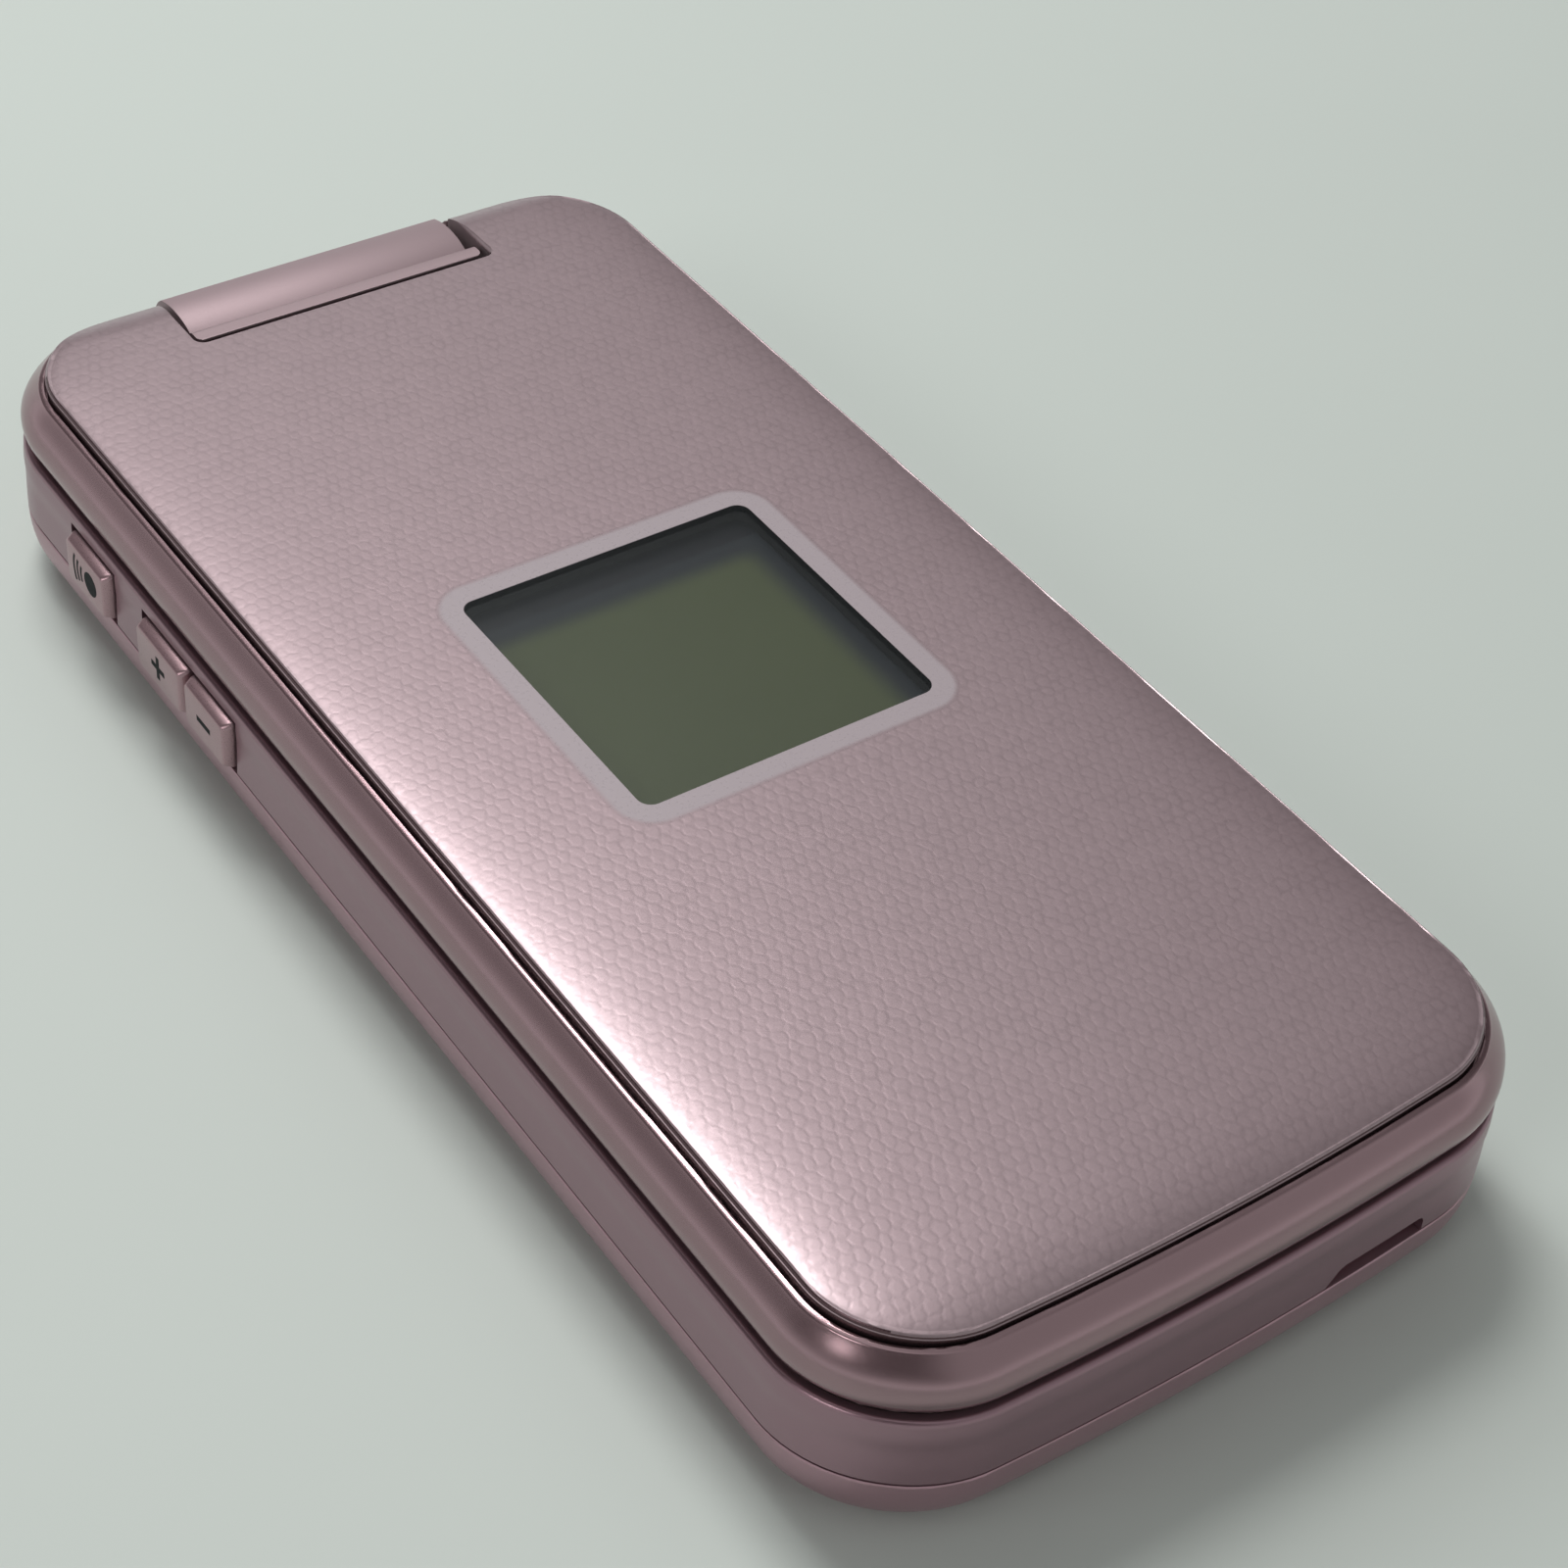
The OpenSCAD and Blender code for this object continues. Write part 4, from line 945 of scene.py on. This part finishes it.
def speaker_slots():
    """Five slots, each shorter than the one nearer the middle."""
    middle = middle_of("loudspeaker")
    slots = []
    for k in range(-2, 3):
        half = (8 - abs(k)) / 2
        y = middle.y + 1.9 * k
        ring = rounded_box((middle.x - half, y - 0.45), (middle.x + half, y + 0.45), 0.4, 5)
        slots.append(column(ring, -1, 3))
    return slots


class PHONE_OT_hinge_cover(bpy.types.Operator):
    """Hinge barrel with the narrow lip ahead of it"""

    bl_idname = "phone.hinge_cover"
    bl_label = "Hinge cover"

    def execute(self, context):
        front, half, lip_half = AXIS.x - 3.2, 11.65, 11.95
        floor, top = AXIS.y + 0.05, BARREL_HIGH.z - 0.18
        saddle = [Vector((AXIS.x - 1.5, floor)), Vector((AXIS.x - 1.5, top - 0.86))]
        saddle += on_circle(AXIS + Vector((1.35, -1.2)), 6.0, spread(118, 70.5, 16))
        saddle += on_circle(AXIS + Vector((1.9, 1.9)), 3.0, spread(57, -10, 20))
        saddle += on_circle(AXIS, 5.15, spread(-8, -179, 48))
        barrel = beam(saddle, -half, half, "hinge_barrel")
        round_edges(barrel, 0.16)
        slope = [(0.7, 0.70), (0.06, 0.24), (0.0, 0.18), (0.0, 0.09), (0.03, 0.03), (0.10, 0.0), (1.05, 0.0)]
        slope += [(1.05 + 1.25 * t, 0.88 * (3 * t * t - 2 * t ** 3)) for t in spread(0, 1, 8)[1:]]
        section = [Vector((front + y, top - down)) for y, down in slope]
        lip = beam([Vector((front + 0.7, floor)), *section, Vector((front + 2.3, floor))], -lip_half, lip_half)
        plan = rounded_box((-lip_half, front), (lip_half, front + 4), 0.55)
        combine(lip, column(plan, floor - 1, top + 1), "INTERSECT")
        sharpen(barrel, 40)
        sharpen(lip, 40)
        combine(barrel, lip, "UNION")
        sharpen(barrel, 32)
        finish_piece(barrel, "hinge", "base", "hinge_paint", "hinge_cover")
        return {"FINISHED"}


# ---- Side keys ----

class PHONE_OT_side_keys(bpy.types.Operator):
    """Voice and volume keys, with their marks"""

    bl_idname = "phone.side_keys"
    bl_label = "Side keys"

    def execute(self, context):
        for name in ("voice_key", "volume_up_key", "volume_down_key"):
            finish_piece(side_key(name), "side_key", name, "side_key_paint", name)
            finish_piece(merge(name + "_mark", side_key_mark(name)), "mark", name, "side_key_paint")
        return {"FINISHED"}


def side_key(name):
    """A cap whose sides slope in towards its face, with its stem and flange behind the wall."""
    low, high = span(name)
    z0, z1, inside, middle_z = 5.5, 9.4, -25.8, 7.7
    rings = []
    for x, inset, radius in ((inside, 0.0, 0.25), (-RIM_X - 1.9, 0.0, 0.25), (low.x, 0.24, 0.45)):
        ring = rounded_box((low.y + inset, z0 + inset), (high.y - inset, z1 - inset), radius, 5)
        rings.append(across(ring, x))
    key = stack(name + "_cap", rings)
    round_edges(key, 0.14, 3, 25)
    for x0, x1, inset, half in ((inside - 0.01, -24.4, 1.3, 0.65), (-24.45, -23.85, 0.5, 1.15)):
        part = block((x0, low.y + inset, middle_z - half), (x1, high.y - inset, middle_z + half))
        combine(key, part, "UNION")
    sharpen(key, 40)
    return key


def side_key_mark(name):
    """Marks on the face of a side key: plus, minus, or a disc with three sound waves."""
    face = span(name)[0].x
    outside, inside = face - 0.012, face + 0.05
    y, z = middle_of(name).y, 7.45
    if name != "voice_key":
        bars = [(0.95, -0.22, 0.22)]
        if name == "volume_up_key":
            bars += [(0.22, 0.21, 0.95), (0.22, -0.95, -0.21)]
        return [block((outside, y - half, z + low), (inside, y + half, z + high)) for half, low, high in bars]
    centre = (y - 0.9, z)
    rings = [disc_ring(centre, 0.95, 32)]
    for radius in (1.5, 2.05, 2.6):
        rings.append(on_circle(centre, radius + 0.12, range(-26, 27, 4))
                     + on_circle(centre, radius - 0.12, range(26, -27, -4)))
    return [beam(ring, inside, outside) for ring in rings]


# ---- Geometry node trees ----

class Graph(Tree):
    """A geometry node tree under construction, which ends in Realize Instances and Set Material."""

    def __init__(self, name, lengths, others=()):
        super().__init__(bpy.data.node_groups.new(name, "GeometryNodeTree"))
        face = self.tree.interface
        for way in ("INPUT", "OUTPUT"):
            face.new_socket("Geometry", in_out=way, socket_type="NodeSocketGeometry")
        for label, value in lengths:
            socket = face.new_socket(label, in_out="INPUT", socket_type="NodeSocketFloat")
            socket.subtype = "DISTANCE"
            socket.default_value = value * MM
        for label, kind in (*others, ("Material", "NodeSocketMaterial")):
            face.new_socket(label, in_out="INPUT", socket_type=kind)
        self.start = self.add("NodeGroupInput").outputs

    def end(self, geometry):
        real = self.add("GeometryNodeRealizeInstances", {"Geometry": geometry})
        paint = self.add("GeometryNodeSetMaterial", {
            "Geometry": real.outputs[0], "Material": self.start["Material"]})
        self.add("NodeGroupOutput", {"Geometry": paint.outputs[0]})
        return self.tree


def grow(name, tree, values, points=()):
    """Makes a plain mesh with a node tree, from named inputs and starting points in millimetres."""
    mesh = bpy.data.meshes.new(name)
    mesh.from_pydata([Vector(p) * MM for p in points], [], [])
    piece = make_object(name, mesh)
    modifier = piece.modifiers.new("grow", "NODES")
    sockets = {item.name: item.identifier for item in tree.interface.items_tree
               if item.item_type == "SOCKET" and item.in_out == "INPUT"}
    modifier.node_group = tree
    for label, value in values.items():
        modifier[sockets[label]] = value * MM if isinstance(value, float) else value
    bpy.context.view_layer.update()
    return settle(piece)


def key_cap_tree():
    """A key cap: a rounded block with soft edges and a shallow dish."""
    g = Graph("key_cap", (
        ("Width", 13.2), ("Length", 7.6), ("Corner", KEY_CORNER), ("Edge", 0.3), ("Base", 7.7), ("Top", 10.8),
        ("Dish", KEY_DISH), ("Middle X", 0.0), ("Middle Y", 0.0)))
    start = g.start
    plus, less, times, power, most, scaled = (
        functools.partial(g.math, operation)
        for operation in ("ADD", "SUBTRACT", "MULTIPLY", "POWER", "MAXIMUM", "MULTIPLY_ADD"))
    cube = g.add("GeometryNodeMeshCube", {
        "Size": (2, 2, 2), "Vertices X": 45, "Vertices Y": 33, "Vertices Z": 3})
    place = g.parts(g.add("GeometryNodeInputPosition").outputs[0])
    kept, beyond, bowl = [], [], []
    for axis, label in zip("XY", ("Width", "Length")):
        half = times(start[label], 0.5)
        even = g.math("SINE", times(place[axis], math.pi / 2))
        bowl.append(less(1.0, power(even, 2.0)))
        at = times(even, half)
        flat = less(half, start["Corner"])
        kept.append(most(g.math("MINIMUM", at, flat), times(flat, -1.0)))
        beyond.append(less(at, kept[-1]))
    reach = most(*[g.math("ABSOLUTE", away) for away in beyond])
    size = g.math("SQRT", plus(*[power(away, 2.0) for away in beyond]))
    pull = g.math("DIVIDE", reach, most(size, 1e-9))
    plan = [scaled(away, pull, base) for away, base in zip(beyond, kept)]
    inwards = less(start["Corner"], reach)
    near = most(less(start["Edge"], inwards), 0.0)
    square = less(power(start["Edge"], 2.0), power(near, 2.0))
    drop = less(start["Edge"], g.math("SQRT", most(square, 0.0)))
    dish = times(start["Dish"], times(*bowl))
    top = less(less(start["Top"], drop), dish)
    rise = scaled(place["Z"], 0.5, 0.5)
    height = scaled(less(top, start["Base"]), rise, start["Base"])
    x, y = (plus(at, start[label]) for at, label in zip(plan, ("Middle X", "Middle Y")))
    spot = g.add("ShaderNodeCombineXYZ", {"X": x, "Y": y, "Z": height})
    shaped = g.add("GeometryNodeSetPosition", {"Geometry": cube.outputs["Mesh"], "Position": spot.outputs[0]})
    smooth = g.add("GeometryNodeSetShadeSmooth", {"Geometry": shaped.outputs[0]})
    return g.end(smooth.outputs[0])


def screw_set_tree():
    """The same screw at every starting point, each turned by a different amount."""
    g = Graph("screw_set", (), (("Screw", "NodeSocketObject"), ("Seed", "NodeSocketInt")))
    screw = g.add("GeometryNodeObjectInfo", {"Object": g.start["Screw"]})
    inputs = {2: 0.0, 3: math.pi / 2, "Seed": g.start["Seed"]}
    turn = g.add("FunctionNodeRandomValue", inputs, data_type="FLOAT")
    angle = g.add("ShaderNodeCombineXYZ", {"Z": turn.outputs[1]})
    copies = g.add("GeometryNodeInstanceOnPoints", {
        "Points": g.start["Geometry"], "Instance": screw.outputs["Geometry"], "Rotation": angle.outputs[0]})
    return g.end(copies.outputs[0])


# ---- Keys under the lid ----

class PHONE_OT_deck_keys(bpy.types.Operator):
    """Number, call and soft keys, the navigation ring and its centre key, with their marks"""

    bl_idname = "phone.deck_keys"
    bl_label = "Keys under the lid"

    def execute(self, context):
        tree = key_cap_tree()
        for name in frame["nodes"]:
            if name.startswith(("key_", "soft_key", "centre_key")) and name != "key_deck":
                deck_key(tree, name)
        navigation_ring()
        return {"FINISHED"}


def deck_key(tree, name):
    """A cap on a thin flange, with its mark."""
    low, high = span(name)
    middle = middle_of(name)
    width, length = high.x - low.x - 1.0, high.y - low.y - 1.0
    round_key = name == "centre_key"
    parts = []
    bowl = ROUND_KEY_DISH if round_key else KEY_DISH
    for wider, edge, top, dish in ((0.0, 0.28, KEY_TOP, bowl), (1.0, 0.1, FLANGE_TOP, 0.0)):
        corner = (width + wider) / 2 if round_key else KEY_CORNER
        parts.append(grow(name + "_part", tree, {
            "Width": width + wider, "Length": length + wider, "Corner": corner, "Edge": edge, "Base": low.z,
            "Top": top, "Dish": dish, "Middle X": middle.x, "Middle Y": middle.y, "Material": look("key")}))
        sharpen(parts[-1], 50)
    finish_piece(merge(name + "_key", parts), "key", name, "key_paint", name)
    shapes = key_marks().get(name)
    if shapes:
        ink = {"key_call": "mark_green", "key_end": "mark_red"}.get(name, "mark")
        finish_piece(print_marks(name, shapes, middle, (width / 2, length / 2)), ink, name, "key_paint")


def print_marks(name, shapes, middle, half):
    """Thin print that follows the dish of a key."""
    def surface(p):
        bowl = (1 - (p.x / half[0]) ** 2) * (1 - (p.y / half[1]) ** 2)
        return KEY_TOP - KEY_DISH * bowl

    layers = []
    for ring in shapes:
        spots = [Vector((p.x + middle.x, p.y + middle.y, surface(p))) for p in ring]
        layers.append(stack("print", [[p + Vector((0, 0, lift)) for p in spots] for lift in (-0.06, 0.012)]))
    return merge(name + "_mark", layers)


def strokes(width, *lines):
    """Bars along lines of points, as closed rings."""
    rings = []
    for line in lines:
        points = [Vector(p) for p in line]
        for a, b in zip(points, points[1:]):
            side = Vector((a.y - b.y, b.x - a.x)).normalized() * width / 2
            rings.append([a - side, b - side, b + side, a + side])
    return rings


def curve(radius, y, start=0, sweep=360, parts=24, width=DIGIT_WIDTH):
    """A curved bar as a row of short ones."""
    return strokes(width, on_circle((0, y), radius, spread(start, start + sweep, parts)))


def oblong(half, low, high):
    """The sides of an upright rectangle."""
    return strokes(0.26, [(-half, low), (half, low), (half, high), (-half, high), (-half, low)])


def handset(tilt):
    """A telephone receiver as one closed ring: a bent bar, thicker at both ends."""
    centre, radius, back = (0, -1.25), 2.0, 0.30
    outer, inner = [], []
    for t in spread(-1, 1, 32):
        swell = 0.72 if abs(t) > 0.62 else 0.30
        outer += on_circle(centre, radius + back, [90 - 66 * t])
        inner += on_circle(centre, radius - swell, [90 - 66 * t])
    turn = Matrix.Rotation(math.radians(tilt), 2)
    return [turn @ p for p in outer + inner[::-1]]


def key_marks():
    """Closed rings in the plane of each key, in millimetres from its middle."""
    wide = DIGIT_WIDTH
    return {
        "key_star": strokes(0.34, *[on_circle((0, 0), 0.95, (a + 180, a)) for a in (90, 30, 150)]),
        "key_hash": strokes(0.3, [(-1.1, -0.4), (1.1, -0.4)], [(-1.1, 0.4), (1.1, 0.4)],
                            [(-0.55, -1.15), (-0.25, 1.15)], [(0.25, -1.15), (0.55, 1.15)]),
        "key_call": [handset(38)],
        "key_end": [handset(0)],
        "key_clear": strokes(0.34, [(-1.2, 0), (1.6, 0)], [(-1.3, 0), (-0.4, 0.9)], [(-1.3, 0), (-0.4, -0.9)]),
        "soft_key_1": strokes(0.32, *[[(-1.2, y), (1.2, y)] for y in (-0.8, 0, 0.8)]),
        "soft_key_2": oblong(1.5, -1.0, 1.0) + strokes(0.26, [(-1.45, 0.95), (0, -0.15), (1.45, 0.95)]),
        "soft_key_3": oblong(1.5, -1.0, 0.75) + curve(0.52, -0.12, width=0.24)
        + strokes(0.3, [(-0.6, 1.0), (0.6, 1.0)]),
        "soft_key_4": oblong(1.3, -1.0, 1.0) + strokes(0.24, [(0, -1.0), (0, 1.0)]),
        "key_0": curve(0.8, 0.5, 0, 180, 14) + curve(0.8, -0.5, 180, 180, 14)
        + strokes(wide, [(-0.8, -0.5), (-0.8, 0.5)], [(0.8, -0.5), (0.8, 0.5)]),
        "key_1": strokes(wide, [(-0.5, 0.8), (0.1, 1.3), (0.1, -1.3)]),
        "key_2": curve(0.72, 0.58, 160, -190, 14)
        + strokes(wide, [(0.62, 0.22), (-0.78, -1.28), (0.85, -1.28)]),
        "key_3": curve(0.66, 0.64, 150, -240, 14) + curve(0.72, -0.60, 90, -240, 14),
        "key_4": strokes(wide, [(0.9, -0.5), (-0.95, -0.5), (0.35, 1.3), (0.35, -1.3)]),
        "key_5": strokes(wide, [(0.75, 1.28), (-0.6, 1.28), (-0.68, 0.12)]) + curve(0.82, -0.46, 145, -290, 18),
        "key_6": curve(0.78, -0.5) + strokes(wide, [(-0.74, -0.3), (0.25, 1.3)]),
        "key_7": strokes(wide, [(-0.85, 1.26), (0.85, 1.26), (-0.2, -1.3)]),
        "key_8": curve(0.62, 0.67, parts=20) + curve(0.74, -0.58, parts=22),
        "key_9": curve(0.78, 0.5) + strokes(wide, [(0.74, 0.3), (-0.25, -1.3)]),
    }


def navigation_ring():
    """A ring with a soft outer edge, which falls towards the centre key, and four arrows."""
    low, high = span("navigation_ring")
    middle = middle_of("navigation_ring").xy
    flange, inner, top, rounding, fall = (high.x - low.x) / 2, 4.7, KEY_TOP, 0.3, 0.16
    outer = flange - 0.45
    rings = [(inner, low.z), (flange, low.z), (flange, FLANGE_TOP), (outer, FLANGE_TOP),
             (outer, top - rounding)]
    rings += on_circle((outer - rounding, top - rounding), rounding, spread(0, 90, 6)[1:])
    rings += [(mix(outer - rounding, inner + 0.25, t), top - fall * t * t) for t in spread(0, 1, 10)[1:]]
    rings += [(inner + 0.12, top - 0.20), (inner + 0.02, top - 0.30), (inner, top - 0.42)]
    ring = stack("navigation_ring_cap", [at_height(disc_ring(middle, r, 96), z) for r, z in rings], loop=True)
    sharpen(ring, 50)
    finish_piece(ring, "key", "navigation_ring", "key_paint", "navigation_ring")
    arrows = []
    for quarter in range(4):
        turn = Matrix.Rotation(quarter * math.pi / 2, 2)
        points = [turn @ Vector(p) + middle for p in ((-0.75, 8.0), (0.75, 8.0), (0, 9.0))]
        arrows.append(column(points, top - fall ** 2 - 0.1, top - fall ** 2 + 0.006))
    finish_piece(merge("navigation_ring_mark", arrows), "mark", "navigation_ring", "key_paint")


# ---- Inside of the lid, deck and small parts ----

def rounded_copy(node, name, width, finish, body, slot):
    """A finished copy of a node's own solid, with its edges rounded."""
    solid = frame["nodes"][node]
    mesh = solid.data.copy()
    mesh.transform(solid.matrix_world)
    with editing(mesh) as work:
        bmesh.ops.remove_doubles(work, verts=work.verts, dist=WELD)
        bmesh.ops.dissolve_limit(work, angle_limit=math.radians(0.5), verts=work.verts, edges=work.edges)
    piece = make_object(name, mesh)
    round_edges(piece, width, 2, 40)
    sharpen(piece, 60)
    modifier = piece.modifiers.new("even", "WEIGHTED_NORMAL")
    modifier.weight = 100
    modifier.keep_sharp = True
    finish_piece(settle(piece), finish, body, slot, node)


class PHONE_OT_inner_parts(bpy.types.Operator):
    """Key deck, inner face of the lid with its window, stops and screws"""

    bl_idname = "phone.inner_parts"
    bl_label = "Inner parts"

    def execute(self, context):
        rounded_copy("key_deck", "key_deck_plate", 0.10, "deck", "base", "deck_paint")
        rounded_copy("lid_inner_case", "lid_inner_face", 0.10, "inner", "lid", "inner_plastic")
        main_window_pane()
        rounded_copy("lid_bumpers", "lid_stops", 0.12, "rubber", "lid", "bumper_rubber")
        lid_screw_heads()
        return {"FINISHED"}


def main_window_pane():
    """The glossy window over the main display, with soft edges towards the keys."""
    low, high = span("main_window")
    corner = 1.9
    rings = []
    for inset, z in ((0.16, low.z), (0.05, low.z + 0.05), (0.0, low.z + 0.15), (0.0, high.z)):
        ring = rounded_box((low.x + inset, low.y + inset), (high.x - inset, high.y - inset), corner - inset, 10)
        rings.append(at_height(ring, z))
    pane = stack("main_window_pane", rings)
    sharpen(pane, 50)
    finish_piece(pane, "screen", "lid", "black_window", "main_window")


def lid_screw_heads():
    """Screws with a cross recess, set into the lid's inner face."""
    low, high = span("lid_screws")
    profile = ((0.6, 0), (1.25, 0), (1.38, 0.03), (1.45, 0.10), (1.45, 0.45), (0.68, 0.45),
               (0.68, high.z - low.z))
    head = stack("screw_head", [at_height(disc_ring((0, 0), r, 40), low.z + z) for r, z in profile])
    for x, y in ((1.0, 0.22), (0.22, 1.0)):
        combine(head, block((-x, -y, low.z - 1), (x, y, low.z + 0.28)))
    sharpen(head, 35)
    points = [(x * side, y, 0) for x, y in ((20.0, -49.05), (21.3, 40.8)) for side in (-1, 1)]
    values = {"Screw": head, "Seed": 0, "Material": look("screw")}
    screws = grow("lid_screw_set", screw_set_tree(), values, points)
    discard(head)
    sharpen(screws, 35)
    finish_piece(screws, "screw", "lid", "screw_steel", "lid_screws")


# ---- Parts that keep their solid ----

CARRIED = {
    "steel": ("hinge_click_unit", "hinge_drive_shaft", "hinge_pivot_bush", "vibration_motor", "card_socket",
              "usb_socket", "lid_magnet"),
    "screw": ("case_screws",),
    "film": ("hinge_flex", "dome_sheet"),
    "cell": ("battery",),
    "gold": ("battery_contacts",),
    "board": ("main_board", "lid_board"),
    "antenna": ("antenna",),
    "black": ("loudspeaker", "camera_module", "earpiece"),
    "ceramic": ("microphone",),
    "lens": ("camera_window",),
    "screen": ("main_display",),
    "case": ("port_cover",),
}


class PHONE_OT_carried_parts(bpy.types.Operator):
    """Finishes of the parts that keep the solid they have in the frame"""

    bl_idname = "phone.carried_parts"
    bl_label = "Carried parts"

    def execute(self, context):
        for finish, names in CARRIED.items():
            for name in names:
                materials = frame["nodes"][name].data.materials
                materials.clear()
                materials.append(look(finish))
        return {"FINISHED"}


# ---- Stage ----

class PHONE_OT_stage(bpy.types.Operator):
    """Table, soft lights and camera"""

    bl_idname = "phone.stage"
    bl_label = "Stage"

    def execute(self, context):
        context.scene.view_settings.view_transform = "Standard"
        stage = context.scene.phone_stage
        make_camera(stage)
        make_table(stage)
        make_lights(stage)
        make_room(stage)
        return {"FINISHED"}


def make_camera(stage):
    data = bpy.data.cameras.new("camera")
    data.lens = stage.lens
    data.sensor_width = 36
    data.clip_start = 0.01
    data.clip_end = 20
    camera = make_object("camera", data)
    turns = ((stage.azimuth, "Z"), (math.pi / 2 - stage.elevation, "X"), (stage.roll, "Z"))
    around, over, tilt = (Matrix.Rotation(angle, 4, axis) for angle, axis in turns)
    camera.matrix_world = Matrix.Translation(Vector(stage.place)) @ around @ over @ tilt
    bpy.context.scene.camera = camera


def make_table(stage):
    radius, steps = 2500, 64
    mesh = bpy.data.meshes.new("table")
    mesh.from_pydata([p.to_3d() * MM for p in disc_ring((0, 0), radius, steps)], [], [tuple(range(steps))])
    table = make_object("table", mesh)
    f = Finish("table_top")
    paint = f.blend(tint(stage.table, 0.98), tint(stage.table, 1.02), f.noise(60.0))
    table.data.materials.append(f.set(Base_Color=paint, Roughness=0.55))


def make_lights(stage):
    """A large soft light behind, a small one for the lid's corner, and two weak fills that nothing mirrors."""
    cool = (0.97, 1.0, 1.0)
    for name, place, side, power, colour, mirrored in (
            ("window_light", Vector(stage.light_aim).normalized() * 0.62, (0.21, 0.23), stage.key_power,
             (1.0, 0.985, 0.97), True),
            ("small_light", Vector(stage.lamp_aim).normalized(), (0.34, 0.34), stage.lamp_power,
             (1.0, 0.99, 0.98), True),
            ("rear_fill", Vector((-0.02, 0.60, 0.56)), (0.24, 0.24), 1.7, cool, False),
            ("left_fill", Vector((-0.62, 0.12, 0.50)), (0.24, 0.24), 0.3, cool, False)):
        data = bpy.data.lights.new(name, "AREA")
        data.shape = "ELLIPSE" if mirrored else "RECTANGLE"
        data.size, data.size_y = side
        data.energy = power
        data.color = colour
        light = make_object(name, data)
        light.location = place
        light.rotation_euler = (-place).to_track_quat("-Z", "Y").to_euler()
        light.visible_glossy = mirrored


def make_room(stage):
    """A room that darkens to the sides and overhead, and is lighter ahead and below."""
    world = bpy.data.worlds.new("soft_room")
    bpy.context.scene.world = world
    world.use_nodes = True
    room = Tree(world.node_tree)
    place = room.add("ShaderNodeTexCoord").outputs["Generated"]

    def fade(direction, low, high, least=0.0, most=1.0):
        """Changes from one level to another as a place nears a direction."""
        toward = room.vector("DOT_PRODUCT", place, Vector(direction).normalized())
        return room.ramp(toward, least, most, low, high, smooth=True)

    from_left = fade((-0.55, 0.25, 0.80), 0.18, 0.56)
    from_right = fade((0.62, 0.0, 0.78), 0.42, 0.66)
    below = fade((0, 0, -1), -0.40, -0.02)
    overhead = fade((0.43, -0.15, 0.88), 0.78, 0.94, 1.0, 0.45)
    ahead = fade((0.40, -0.80, 0.45), 0.62, 0.92, 0.0, 0.48)
    bright = room.math("MULTIPLY", room.math("MULTIPLY", from_left, from_right), overhead)
    level = room.math("MAXIMUM", room.math("MAXIMUM", bright, below), ahead)
    background = world.node_tree.nodes["Background"].inputs
    room.put(room.blend((0.060, 0.050, 0.050), (0.77, 0.795, 0.785), level), background["Color"])
    background["Strength"].default_value = stage.fill


# ---- Panel in the sidebar ----

OPERATORS = (
    PHONE_OT_stage,
    PHONE_OT_lid_panel,
    PHONE_OT_lid_frame,
    PHONE_OT_outer_window,
    PHONE_OT_middle_case,
    PHONE_OT_battery_cover,
    PHONE_OT_hinge_cover,
    PHONE_OT_side_keys,
    PHONE_OT_deck_keys,
    PHONE_OT_inner_parts,
    PHONE_OT_carried_parts,
)


class PHONE_PT_builder(bpy.types.Panel):
    """Lists the pieces and their sizes"""

    bl_idname = "PHONE_PT_builder"
    bl_label = "Folding phone"
    bl_space_type = "VIEW_3D"
    bl_region_type = "UI"
    bl_category = "Folding phone"

    def draw(self, context):
        for operator in OPERATORS:
            self.layout.operator(operator.bl_idname)
        for group, kind in GROUPS.items():
            for name in kind.__annotations__:
                self.layout.prop(getattr(context.scene, group), name)


GROUPS = {"phone_shape": PhoneShape, "phone_finish": PhoneFinish, "phone_stage": PhoneStage}
CLASSES = (*GROUPS.values(), *OPERATORS, PHONE_PT_builder)


def register():
    for cls in CLASSES:
        bpy.utils.register_class(cls)
    for name, kind in GROUPS.items():
        setattr(bpy.types.Scene, name, PointerProperty(type=kind))


def unregister():
    for name in GROUPS:
        delattr(bpy.types.Scene, name)
    for cls in reversed(CLASSES):
        bpy.utils.unregister_class(cls)


def main():
    register()
    for operator in OPERATORS:
        kind, name = operator.bl_idname.split(".")
        getattr(getattr(bpy.ops, kind), name)()


if __name__ == "__main__":
    main()
